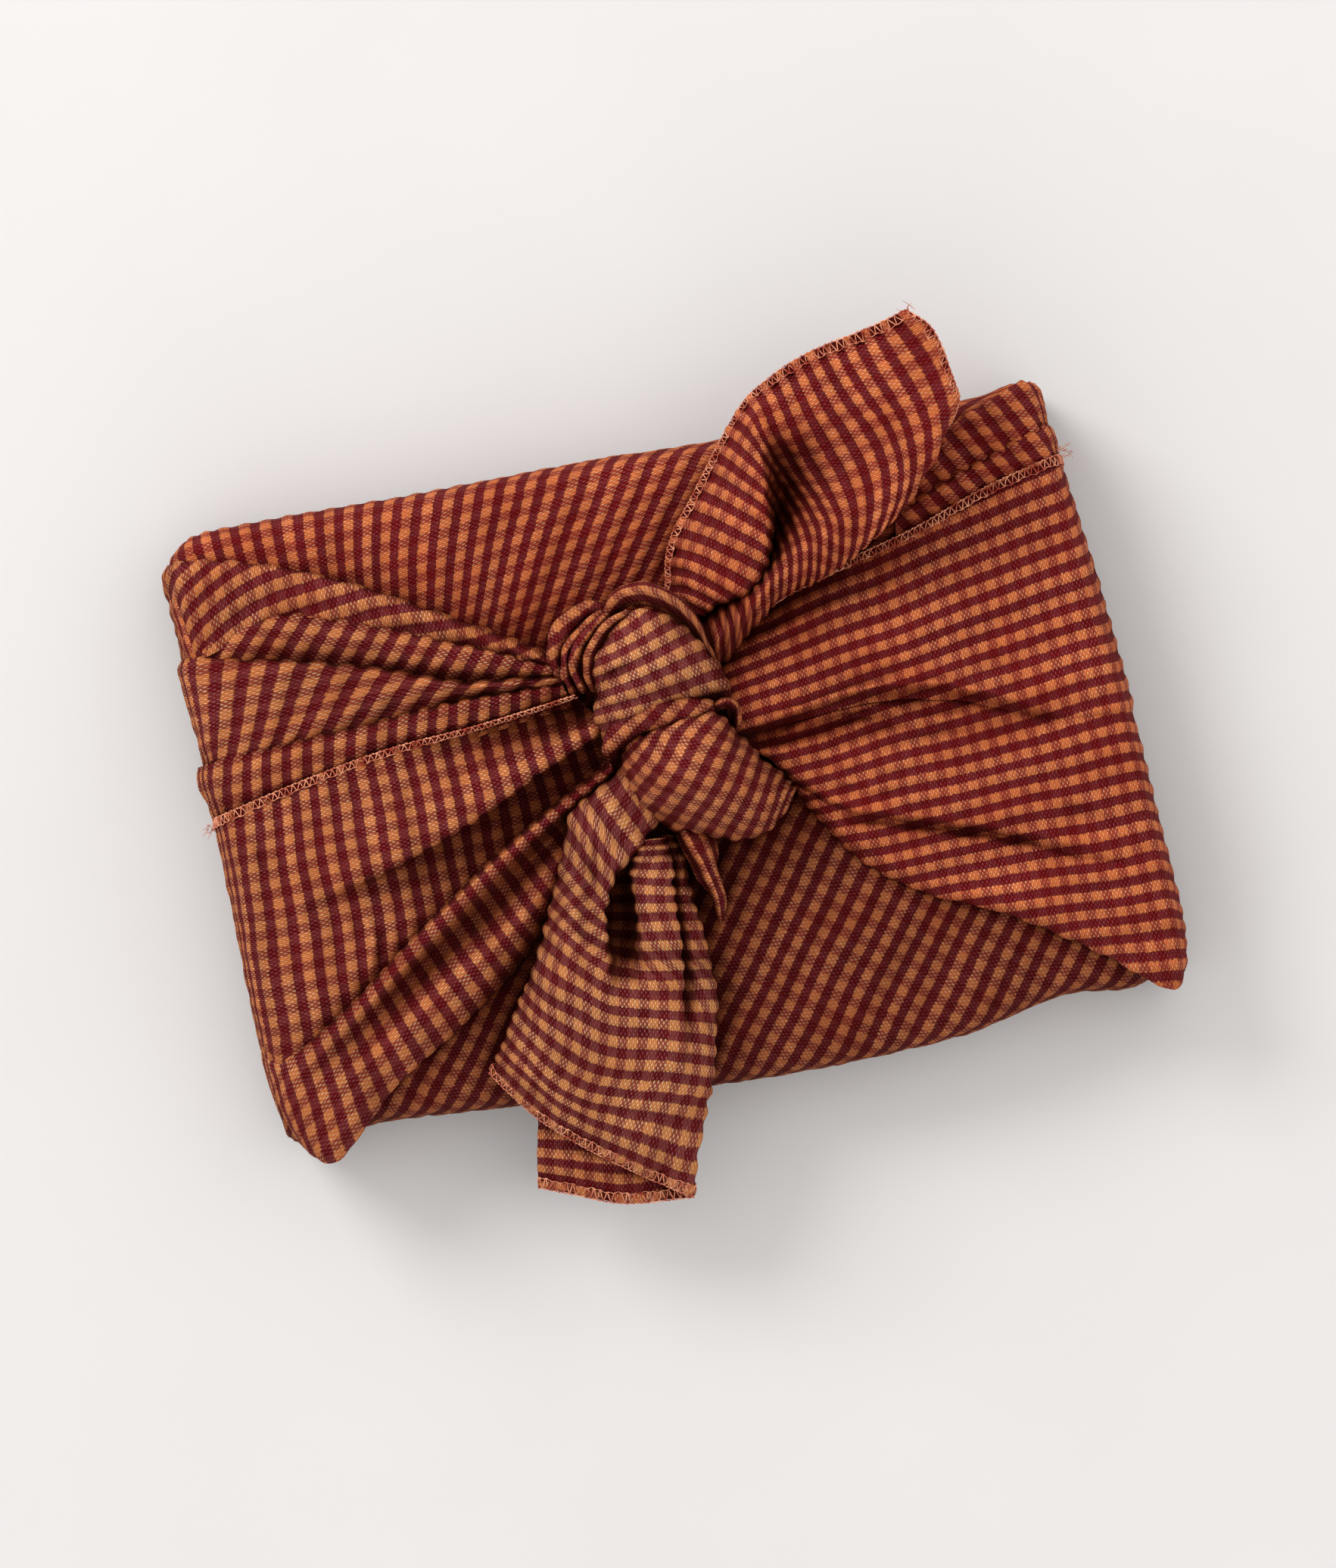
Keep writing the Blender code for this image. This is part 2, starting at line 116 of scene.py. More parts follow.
# The flaps. Each row is one line of the cloth, a fold's crest or foot or an edge, from a wall to the knot. Its
# points, as (x, y, height), are high on the wall, at the shoulder, at the stations over the top, at the knot.
LEFT_FLAP = {
    "edge": ((-139.8, 12, 28), (-134.5, 13, 43.2), (-109, 17.7, 45.8), (-83, 21.2, 47.2), (-57, 22.3, 48.8),
        (-40, 23.6, 50), (-25, 25, 52)),
    "belly": ((-139.8, 2, 28), (-133.5, 3, 43), (-110, 6, 46), (-84, 14, 46), (-58, 17.5, 45.2),
        (-40, 18, 44.3), (-22, 20, 45)),
    "bulge": ((-140, -12, 28), (-133.5, -12, 43.2), (-111, -8, 47.3), (-87, -4, 52.5), (-60, 4.5, 55.5),
        (-40, 9, 56.5), (-20, 15.3, 57)),
    "bulge edge": ((-140, -18, 28), (-133.5, -19, 43.2), (-111, -16.5, 46.8), (-87, -12.6, 51),
        (-60, -3.8, 54.8), (-40, 4.6, 55.6), (-20, 12.2, 56)),
    "bulge foot": ((-140.2, -25, 28), (-133.7, -26, 43.1), (-111.3, -20.5, 44.4), (-87.3, -14.6, 43.8),
        (-60.5, -4.6, 43.6), (-40.3, 4.4, 43.6), (-20, 11.6, 47)),
    "floor": ((-140.5, -36, 28), (-134, -37, 43.1), (-111.6, -35, 44.6), (-87.6, -25.5, 43.8),
        (-61, -13.2, 43.4), (-40.6, -2.5, 43.6), (-20, 5, 46)),
    "rise": ((-140.8, -50, 28), (-134.5, -53, 43.2), (-112, -46, 45.5), (-88, -32.5, 44.6),
        (-61, -17.6, 43.9), (-40.4, -6, 44), (-20, 3.6, 48)),
    "hidden": ((-140.6, -62, 27.5), (-134, -66, 42), (-111.5, -57, 43.5), (-87.5, -41, 43.5),
        (-61, -24.5, 43), (-40, -11.5, 43.5), (-20, -1, 46)),
}
LEFT_ROLL = {
    "back": ((-140.4, -59, 27), (-134, -63, 42), (-112, -51.6, 45.5), (-88, -35.3, 46.5), (-61, -18, 46),
        (-40.2, -6.4, 46), (-19.5, 3.4, 50)),
    "crest": ((-141, -62, 28), (-134.4, -65, 43.5), (-112, -53.4, 50), (-88, -37, 52.6), (-61, -20, 54),
        (-40, -8.2, 54), (-19, 1.8, 56)),
    "brow": ((-140.9, -66, 28), (-134.3, -69, 43.7), (-111.8, -56, 50.2), (-87.7, -39.8, 53),
        (-60.6, -22.6, 54), (-39.8, -10.3, 54), (-19, 0.4, 56)),
    "under crest": ((-140.6, -71, 28), (-134.2, -74, 43.7), (-111.2, -61.5, 46), (-87, -45, 45.5),
        (-59.6, -28, 45), (-39.3, -14, 46), (-19, -1, 50)),
    "lobe": ((-139.5, -79, 28), (-134, -80, 43.6), (-110, -69, 50.5), (-85.5, -54, 52.5), (-58.3, -38.5, 53),
        (-38, -21, 49), (-19, -4, 49)),
    "fold top": ((-133.5, -92, 29), (-128.5, -94, 42.5), (-105.5, -75, 47), (-81, -60.5, 49),
        (-57, -44.5, 50), (-37, -26, 47), (-19, -8, 47)),
    "fold foot": ((-130.5, -93.5, 28), (-125.5, -96.5, 37), (-103, -78, 41), (-79.5, -64.5, 42),
        (-56, -48, 42), (-37, -29, 42), (-20, -10, 44)),
    "tucked under": ((-127, -88, 24), (-121, -88, 34), (-99, -74, 38), (-77, -59, 38), (-54, -42, 39),
        (-37, -25, 40), (-20, -8, 42)),
}
LEFT_PLEAT = {
    "under": ((-138.6, 8, 28), (-132.5, 9, 41.5), (-109, 13, 43), (-84, 17, 44), (-58, 19, 45.5),
        (-26, 22, 48)),
    "crest": ((-141.7, 25, 28), (-136.5, 25.4, 42.3), (-110, 27, 46.3), (-84, 28.6, 47.8), (-58, 29.4, 49.5),
        (-28, 28, 52)),
    "foot": ((-140.6, 28.5, 28), (-134.5, 28.8, 41.2), (-110, 29.8, 42.5), (-84, 30.8, 43.3),
        (-58, 31.2, 44.8), (-28, 30, 48)),
}
LEFT_SECOND_LAYER = {
    "under": ((-138.4, 22, 28), (-132.5, 24, 41), (-110, 25.5, 42), (-84, 26.5, 42.8), (-58, 27.5, 44),
        (-28, 28, 47)),
    "dip": ((-139, 33, 28), (-133.2, 34, 42), (-110, 33.3, 44), (-84, 32, 45.3), (-58, 31.2, 46.8),
        (-28, 28.5, 50)),
    "roll": ((-139.7, 46, 28), (-133.5, 46.2, 42.8), (-109, 43.5, 45.6), (-83, 38, 47.5), (-57, 33.2, 49.5),
        (-28, 29.5, 52)),
    "crest": ((-140.3, 58.5, 28), (-134.5, 58.2, 42.3), (-109, 52.7, 46.2), (-83, 44.6, 48.5),
        (-57, 34.8, 50.5), (-28, 30.5, 52.5)),
    "foot": ((-138.8, 61, 28), (-133, 60.6, 40.6), (-109, 55, 41.5), (-83, 47.2, 42.5), (-57, 37.2, 44),
        (-28, 32, 48)),
}
LEFT_FIRST_LAYER = {
    "edge": ((-138.2, 60, 28), (-131.5, 60, 41.5), (-107, 65, 44.5), (-81, 56.5, 46.5), (-55, 45.5, 48.5),
        (-28, 33.3, 51.5)),
    "dip": ((-138.2, 67, 28), (-131.5, 66, 42), (-106.5, 68.5, 45.3), (-80, 59.5, 47.3), (-54, 47, 49),
        (-28, 33.8, 52)),
    "swell": ((-138.6, 77, 28), (-132, 77, 43), (-105.5, 75, 46.8), (-79, 63.5, 49), (-53, 49.3, 51),
        (-28, 35, 54)),
    "crest": ((-139, 87, 28), (-134, 87.8, 42.5), (-105, 81, 45.5), (-78, 67.5, 48), (-52.5, 51.5, 50.5),
        (-28.5, 36.5, 53)),
    "foot": ((-136.5, 89.8, 28), (-131, 89.8, 39.5), (-105, 82.5, 41.2), (-78, 69, 42), (-52.5, 53.5, 43),
        (-29, 38.5, 47)),
}
LEFT_FIRST_FOLD = {
    "under": ((-137.6, 52, 28), (-131, 53, 40.2), (-109, 48, 41), (-82, 41, 42), (-56, 33, 43.5),
        (-28, 31, 47)),
    "hollow": ((-137.8, 56, 28), (-131, 57, 40.8), (-108.5, 55.5, 43), (-82, 46.5, 45), (-56, 37.5, 47),
        (-28, 31.6, 50)),
    "belly": ((-137.9, 59, 28), (-131.2, 60, 41.2), (-107.5, 61, 46.3), (-81, 51.5, 48.3), (-55, 41.6, 50),
        (-28, 32.4, 52.5)),
    "top": ((-138, 61, 28), (-131.4, 62.5, 41.2), (-107, 66.3, 46), (-80.5, 57.6, 48.2), (-54.5, 46, 50),
        (-28, 33.4, 53)),
    "tuck": ((-137.6, 64, 28), (-131, 65, 40.2), (-106.5, 69.3, 42), (-80, 60.5, 43), (-54, 48.5, 44.5),
        (-28, 34.5, 48)),
}
RIGHT_UPPER = {
    "edge": ((133, 64.2, 28), (129, 63.6, 42.3), (108, 59, 43.6), (84, 51.5, 44.2), (62, 46.5, 44.3),
        (41, 41, 45), (18, 30, 47)),
    "upper": ((134.5, 46, 28), (130.5, 46, 43), (108.5, 43, 45.8), (84.5, 37.5, 47.5), (62, 30.5, 49),
        (41, 26, 51), (18, 19, 54.5)),
    "middle": ((136.2, 26, 28), (131.8, 26, 43), (109, 25, 46), (85, 21, 48), (62, 17, 50), (41, 15.5, 52.5),
        (18, 13, 57)),
    "shelf": ((137.2, 8, 28), (132.5, 8, 43), (110, 9.5, 46), (86, 12, 48.3), (62, 12, 50.5), (41, 11, 53),
        (18, 9.5, 58)),
    "crest": ((138.3, -13, 28), (133.8, -13, 43), (112, -10.3, 46.8), (87, 1.8, 50.5), (62, 7.2, 53),
        (41, 6.4, 55), (18, 3.5, 59)),
    "foot": ((138, -16, 28), (133.5, -16, 42.5), (112.3, -13, 44.5), (87.5, -1.8, 46.5), (62, 3.5, 47.5),
        (41, 3, 48.5), (18, 1, 52)),
}
RIGHT_MIDDLE = {
    "under": ((137.4, -6, 28), (133, -6, 42), (111, -4, 44), (86, 5, 45.5), (61, 6, 46), (41, 4.5, 47),
        (20, 2.5, 50)),
    "trough": ((138, -20, 28), (134, -19, 42.7), (112, -15.5, 45), (88, -7, 46.8), (62, -3.5, 47.5),
        (42, -1, 48.5), (21, 0.5, 51)),
    "belly": ((138.3, -33, 28), (134.2, -32, 43), (112, -27.5, 47), (88, -17, 51), (62, -12, 52.5),
        (43, -8, 52.5), (23, -2, 54)),
    "brow": ((138.6, -47, 28), (134.4, -45, 43), (112.5, -39, 47.3), (88, -27.5, 51.5), (63, -20.5, 53),
        (45, -15, 52.5), (27, -6, 53)),
    "second crest": ((139, -62, 28), (134.8, -60.5, 43), (113, -53.5, 47), (89, -40.5, 50.5), (63, -31, 52.5),
        (46, -24, 52), (30, -10, 51)),
    "second foot": ((139, -65, 28), (134.6, -63.5, 42.4), (113.2, -56, 45.3), (89.2, -43.3, 48),
        (63.5, -34, 49.5), (46.8, -26.8, 48.5), (31, -12.5, 48)),
}
RIGHT_LOWER = {
    "under": ((138.5, -58, 28), (134, -57, 42), (112.5, -50, 45), (88.5, -37, 47.5), (63, -28, 49),
        (46, -22, 48), (29, -9, 47)),
    "swell": ((139.4, -74, 28), (135, -72, 42.8), (113.5, -63, 46.3), (90, -49.5, 49), (64, -41, 50.5),
        (48, -31, 49), (32, -14, 48)),
    "fold top": ((138, -91, 28), (134, -92.5, 41.5), (112, -80, 45), (88.5, -64, 47), (65, -52, 48),
        (49.5, -39.5, 47), (33.5, -17, 47)),
    "fold foot": ((134.5, -98.5, 27), (130.5, -100, 36.5), (110.5, -83.5, 40.5), (87, -67.3, 41.5),
        (64, -55.2, 42), (48.2, -42.5, 42), (33.5, -19, 43)),
    "tucked under": ((128, -92, 22), (124, -90, 33), (107, -76, 37), (84, -60, 37.5), (61, -49, 38),
        (46, -37, 38.5), (31, -14, 40)),
}
CORNER_TUCK = {
    "front": ((131.4, 56, 28), (127.5, 56, 41), (108, 52, 41.8), (92, 46, 41.8), (78, 41, 42)),
    "middle": ((132.3, 63, 28), (128.3, 63, 42), (110, 61, 43.3), (94, 57, 43.3), (79, 50, 43)),
    "crest": ((132.6, 72.6, 28), (128.4, 72.6, 42.6), (113, 67.8, 44), (97, 63, 44), (80, 56, 43.3)),
    "foot": ((130.2, 74.8, 28), (126.5, 74, 40.3), (112.5, 69.5, 41), (96.5, 64.8, 41), (80, 58, 41)),
}
CORNER_GATHER = {
    "under": ((130.4, 60, 28), (126, 62, 40), (110, 60, 41), (94, 56, 41), (80, 52, 41)),
    "roll": ((131.2, 73, 28), (127, 73.5, 42.2), (112, 71, 43.8), (97, 67.5, 43.6), (81, 61, 42.6)),
    "crest": ((131.4, 84.5, 28), (127.3, 86, 42), (114, 81.5, 44.3), (99, 75, 44), (82, 66, 42.6)),
    "foot": ((129.8, 87, 28), (125.2, 87.8, 39.8), (112.5, 83.7, 40.8), (97.5, 77, 41), (81.5, 68, 40.8)),
}

# The longer free end, over the parcel's back edge. Rows from its hem to the edge tucked under it, one point
# for each warp stripe that the row crosses, from the knot to the corner of the cloth.
BACK_END = {
    "hem": ((6, 44, 49), (8.8, 52, 47.5), (10.4, 59, 46.5), (14.3, 66.5, 46), (20.2, 73.3, 46),
        (26, 80.3, 46.5), (31.6, 87.2, 47.5), (37.6, 94, 49), (44, 100.3, 52), (52, 104.6, 56),
        (60, 107.8, 60), (70, 110.2, 64), (80, 111.6, 67), (88.5, 113.2, 69.5), (95.5, 115, 71)),
    "strip": ((11, 44, 56), (15, 49, 56.5), (19, 53.5, 57), (25, 59, 57.5), (31, 65, 58), (35, 72.5, 58.5),
        (38.2, 80, 59), (42, 88, 59.5), (46.3, 94.5, 60), (54, 97, 61), (62.5, 99.5, 63), (72.5, 101, 66),
        (82.5, 102, 69), (92, 104.5, 71), (101, 109.3, 72)),
    "ridge": ((17, 40, 56), (22.5, 42.8, 57), (30.5, 43, 58), (37, 48.7, 60), (40.3, 56, 62), (42.2, 65, 63),
        (43.2, 73.5, 63), (44.8, 82, 62.5), (47.5, 88, 61), (55.5, 89, 60.5), (65, 90, 62.5), (76, 91, 67),
        (85.5, 91.5, 70), (94.5, 95.5, 72), (103.4, 102.5, 72.5)),
    "hollow": ((18, 39.5, 49), (22.8, 41.8, 48), (29, 43.4, 47), (35.3, 47.3, 44.8), (40, 52, 44.2),
        (43, 58.3, 44.2), (45.7, 65, 45), (48.6, 71.5, 46.5), (51.5, 76, 49), (58, 77.5, 53.5),
        (68.5, 79, 61), (80, 80.5, 67.5), (88.3, 81, 71), (96.3, 86.3, 73), (104.2, 96, 73)),
    "neck": ((17, 38, 52), (22, 40.3, 53), (26.5, 41.8, 54), (32, 44.8, 55), (37.5, 48.3, 56),
        (42.5, 52.3, 56.5), (47, 56.8, 57), (51.6, 60.8, 57.5), (56, 64, 58), (61.5, 66.7, 60),
        (71, 69, 64.5), (81.5, 70.5, 69), (88.3, 72, 72), (96.7, 79.8, 74), (104.8, 90.8, 72.5)),
    "neck crest": ((17, 31, 58), (22.5, 33.5, 58.5), (27, 36, 59.5), (32, 39.5, 60.5), (37, 43, 61.5),
        (42, 46, 62.5), (47, 49, 63), (52, 52, 63.5), (57, 55, 64), (63, 57.5, 64.5), (70.5, 59, 66),
        (79.5, 61, 69), (86.5, 65, 71.5), (95.8, 74, 73), (105.3, 86.5, 71)),
    "fold": ((16, 24, 52), (21, 25, 52), (25.5, 28.4, 52.5), (30, 32, 53), (35, 35.6, 54), (39.7, 38.8, 55),
        (44, 40.4, 56), (48.7, 41.3, 57), (53, 42.4, 57.5), (59, 44.4, 58), (65, 47, 60), (72.3, 51.2, 62.5),
        (80.5, 56.6, 65), (93, 69, 67.5), (101.4, 80.5, 67)),
    "under": ((15, 27, 46), (19, 28.5, 46), (23, 32, 46), (27, 36, 46.5), (31.5, 40, 47), (36, 43.5, 47.5),
        (40, 45.5, 48), (45, 46.5, 48.5), (49.5, 47.8, 49), (55, 50, 50), (61, 53, 52), (68, 57.5, 54),
        (76, 63, 57), (88, 75, 60), (98, 85, 60)),
}
# The shorter free end, over the front edge. Rows from its left fold to the edge tucked under its right side.
FRONT_END = {
    "tucked left": ((-8, 5, 50), (-19, -5, 49), (-28, -12, 49), (-33, -22, 48), (-38, -34, 47),
        (-44, -46, 46), (-50, -57, 45), (-56, -67, 44), (-61, -76, 43), (-66, -83, 41), (-68, -86, 39)),
    "left fold": ((-8, 4.5, 54), (-24, -3.4, 53.5), (-33.6, -8.8, 52.5), (-38.7, -20, 51), (-44, -31, 50),
        (-50, -43, 49), (-56, -53.5, 48.5), (-62, -62, 48), (-67.5, -70, 47), (-72, -76, 46),
        (-74.6, -80, 44)),
    "crest": ((-7, -2, 58), (-21.5, -9, 59), (-30.5, -16, 60), (-35.5, -27, 60), (-40.3, -38.5, 59.5),
        (-45.6, -51, 59), (-51, -61.5, 58), (-57.5, -70, 57), (-62.5, -78.5, 55), (-66.8, -83.5, 52),
        (-70.3, -87, 46)),
    "face": ((-6, -8, 58), (-18.6, -15.6, 58.5), (-27.5, -23, 59), (-32.3, -33, 58.5), (-36.5, -45, 58),
        (-40, -57.5, 58.5), (-44.5, -66.5, 58), (-51, -78, 57), (-56, -87.5, 55), (-60, -92.5, 51),
        (-63, -97, 46)),
    "rim": ((-6, -14, 55), (-16, -23.2, 57), (-24.6, -29.6, 58.5), (-29.6, -38.5, 58.5), (-32, -49, 57.5),
        (-34.5, -62.5, 57.5), (-37.8, -72, 57.5), (-44, -84, 57), (-49.5, -93, 54), (-53.5, -99, 50),
        (-56.5, -103.5, 45)),
    "pocket": ((-6, -15, 50), (-17, -24, 47), (-27.5, -32.5, 45.5), (-32, -40.5, 45), (-30.5, -50, 48),
        (-31, -64, 56.5), (-33.5, -74, 57), (-38.5, -87, 56.5), (-44.5, -95.8, 53.5), (-49, -103, 48.6),
        (-52, -107.7, 44.4)),
    "pocket floor": ((-8, -18, 48), (-18.5, -26, 46), (-21.5, -33, 44.5), (-22.5, -42.2, 44),
        (-25.5, -51.7, 47), (-28, -65, 57), (-30.5, -75, 57), (-35, -88.5, 56.4), (-41, -97.5, 53),
        (-45.5, -105.8, 47.8), (-48.5, -110.7, 43.6)),
    "strip left": ((-17, -21.5, 54), (-19.7, -26.5, 55), (-20.2, -33.5, 57), (-20.6, -43, 57.5),
        (-21.7, -53.3, 57.5), (-23.5, -66.3, 57.5), (-25.5, -76.5, 57), (-29.5, -90.4, 55.5),
        (-36, -99.9, 52), (-40.5, -109.5, 46.5), (-43.5, -114.8, 42)),
    "strip": ((-12.5, -22, 57), (-14, -28, 58.5), (-14.5, -35.5, 59.5), (-15, -44.2, 60), (-16.2, -54.6, 60),
        (-18, -67.8, 59.5), (-20, -78.5, 58.5), (-24, -92, 55.5), (-30.5, -102, 51), (-35, -113, 45.5),
        (-38, -119.2, 40)),
    "step": ((-8, -22.5, 54), (-7.6, -29, 56), (-8.8, -37, 57.5), (-9.6, -45.3, 58), (-10.5, -55.8, 58),
        (-12.9, -69, 57.5), (-15, -80.5, 56.5), (-19.5, -93.5, 53.5), (-25.5, -103.7, 48.5),
        (-30.3, -116, 43), (-33, -123, 38)),
    "step foot": ((-9.5, -21.5, 50), (-9.5, -28.5, 50), (-10.3, -37, 50.5), (-11, -45.5, 51),
        (-11.8, -56, 51.5), (-13.6, -69.1, 52.5), (-14.5, -80.6, 54), (-18.5, -93.8, 52.5), (-24.7, -104, 48),
        (-29.5, -116.5, 42.5), (-32, -123.6, 37.5)),
    "right": ((-7.5, -22, 50), (-5.5, -29, 51), (-6.3, -37.5, 52.5), (-6.9, -46, 53.5), (-7.3, -56.5, 54),
        (-7.8, -69.8, 54), (-10, -82, 53), (-13.5, -95.5, 50), (-19.5, -105.8, 46), (-25, -119.5, 41),
        (-27.5, -127, 37)),
    "right fold": ((-5.5, -22.5, 48), (-3.6, -29.5, 48), (-3.9, -38, 48.5), (-3.5, -47, 49), (-3, -57.5, 49),
        (-3, -70.5, 48.5), (-6, -83.5, 47), (-10, -96.5, 45), (-14.5, -107.3, 42), (-20, -121.5, 38),
        (-23, -129.8, 35.5)),
    "tucked right": ((-9, -20, 45), (-9, -28, 44.5), (-9.5, -37, 44), (-9.5, -46, 44), (-9, -56, 43.5),
        (-9, -68, 42.5), (-12, -79, 41.5), (-15.5, -92, 39.5), (-20.5, -103, 37), (-25.5, -115, 34),
        (-28, -121, 32.5)),
}
FRONT_END_BACK = {
    "left": ((-56, -62, 43.5), (-60, -80, 42), (-64, -98, 38.5), (-66.5, -108, 35), (-68.3, -117.3, 31)),
    "middle left": ((-45, -63, 45), (-49, -82, 43.5), (-53, -101, 40.5), (-56, -111.5, 37),
        (-58.5, -121.5, 33)),
    "middle right": ((-28, -65, 45), (-33, -84, 44), (-38, -104.5, 41), (-42, -115, 38),
        (-44.5, -127.3, 33.5)),
    "right": ((-12, -67, 44), (-17, -86, 42), (-22, -105, 38.5), (-23.5, -116, 36), (-23, -130.3, 32.5)),
}
TWISTED_END = {
    "left": ((-7.5, -18.5, 50), (-4.8, -22.5, 50.5), (-3.6, -28, 51), (-1.4, -35.5, 50), (1.2, -43.5, 48),
        (2.4, -51, 45)),
    "crest": ((-4, -17.5, 54), (-1.5, -21.5, 56), (0.2, -27, 56.5), (2, -34.5, 55), (3.4, -43, 51.5),
        (3.2, -50.8, 46)),
    "right": ((1, -18, 50), (6, -24, 50), (6.3, -29, 50), (5.2, -35.5, 49), (5.5, -43, 47), (3.8, -50.2, 44)),
    "under": ((2, -17, 46), (3.5, -24, 45), (4, -29, 45), (3.5, -35.5, 44.5), (4, -43, 43.5), (3.3, -50, 43)),
}

# The knot. Rows run along the warp stripes from a lobe's left foot, over it, to its right foot.
UPPER_LOBE = (
    ((-11, 41, 46), (-12, 42, 57), (-7, 44.3, 62.5), (0, 45, 64.5), (6, 42.5, 64), (11, 38.5, 61),
        (15.2, 34, 54), (14, 33, 46)),
    ((-15.5, 36, 46), (-17, 37, 57), (-11, 40, 65.5), (-2, 41.7, 70), (6, 39.7, 69), (12, 35.5, 64.5),
        (16.7, 31, 54), (15.5, 30, 46)),
    ((-18, 31, 46), (-19.7, 31.5, 57), (-14, 35, 67), (-4, 37.7, 73), (6, 37, 72.3), (13, 32.8, 67),
        (17.8, 27.5, 54), (16.5, 27, 46)),
    ((-17.5, 26, 46), (-19.3, 26.5, 57), (-13.7, 29.5, 68.3), (-4, 33.2, 75), (6, 33.5, 74.6),
        (13.5, 30, 68.7), (18.8, 24.7, 54), (17.3, 24.5, 46)),
    ((-17.5, 23.5, 46), (-18.8, 24, 55), (-14.6, 26.3, 64.5), (-5, 29.6, 75.3), (6, 30.5, 75.7),
        (14, 27.5, 69.5), (19.5, 22, 54), (18, 22, 46)),
    ((-18.5, 18, 46), (-21, 18.3, 56), (-15, 21.5, 69), (-5, 25.2, 75.6), (6, 27.2, 76.2), (14, 24.6, 70.5),
        (19.9, 19.8, 55), (18, 20, 46)),
    ((-18, 12, 46), (-20.2, 12, 54.5), (-14, 16, 66.5), (-5, 21, 74.3), (6, 23.6, 76), (14, 21.7, 71),
        (20.3, 17.7, 56), (18.5, 18, 46)),
    ((-16.5, 8, 46), (-18.6, 7.5, 54), (-13, 11.7, 64.5), (-5, 17, 71.5), (5, 20, 74), (14, 18.8, 70),
        (20.7, 15.6, 56), (19, 16, 46)),
    ((-13, 7, 46), (-14, 6.5, 53), (-10, 9.5, 60.5), (-4, 13.5, 66.5), (4, 16.3, 70), (13, 15.8, 67),
        (20.3, 13.3, 55), (18.5, 13, 46)),
    ((-10, 8, 46), (-11, 8, 51), (-7, 9, 57), (-2, 11, 61.5), (5, 12.5, 64), (12, 12.5, 62), (18.5, 11, 53),
        (17, 11, 46)),
)
LOWER_LOBE = (
    ((-12, 6, 46), (-14.5, 5, 54), (-13, 6.5, 60), (-10.5, 8, 62.5), (-8, 9.6, 63.5), (-6, 10.8, 63),
        (-5, 11.5, 57)),
    ((-13.5, 1, 46), (-16.4, 0.5, 54), (-13.4, 2.8, 63), (-8.5, 5.7, 68.5), (-3.5, 8.3, 69.5),
        (0, 10.6, 69.8), (1, 11.6, 62)),
    ((-13.5, -5, 46), (-16, -6.3, 54), (-12, -3.7, 65), (-5, 0.8, 72), (1.5, 6, 72.8), (6, 10.5, 71.8),
        (7, 11.5, 63)),
    ((-11, -10.5, 46), (-13.7, -12.3, 54), (-8.5, -9, 66.5), (-0.5, -3.5, 74.3), (6.5, 3, 74.8),
        (11.5, 10, 71.5), (12.5, 11, 62)),
    ((-7, -14.5, 46), (-9, -17.5, 53.5), (-3.5, -13.3, 66.5), (4.5, -7, 75), (11, 0.2, 74.8), (15.7, 8, 69.5),
        (16.5, 9.5, 58)),
    ((-2.5, -17.5, 46), (-3.5, -21.5, 53), (2, -17, 65.5), (9.5, -10.3, 73.5), (15.3, -3, 72.5),
        (19, 3.2, 63.5), (18.5, 4.5, 50)),
    ((4, -20, 46), (4.5, -24.8, 52), (9.5, -20.3, 62.8), (15.5, -14, 69.5), (19.8, -7.3, 68), (22, -0.5, 60),
        (21, 1, 49)),
    ((11, -22, 45), (12.3, -27.6, 51), (16.5, -23.3, 59.7), (20.6, -17.5, 64.5), (23.7, -11.3, 62.8),
        (24.8, -5, 56), (23, -5, 48)),
    ((18, -22, 45), (19.8, -28, 50), (23, -23.8, 55.8), (25.8, -18.8, 59), (27.7, -13.8, 57.6),
        (28.2, -8.7, 52), (26, -9, 46)),
    ((24, -20, 44), (26.7, -24.6, 48), (28.5, -21.3, 51.3), (30.2, -18.2, 52.7), (31.4, -15, 52),
        (31.2, -12, 48.5), (29, -12, 45)),
    ((29, -17.5, 43), (31.3, -20.2, 46), (32.3, -18.6, 47.3), (33.2, -17.2, 47.8), (33.6, -15.8, 47.3),
        (33, -14.8, 46), (31, -14.5, 43)),
)
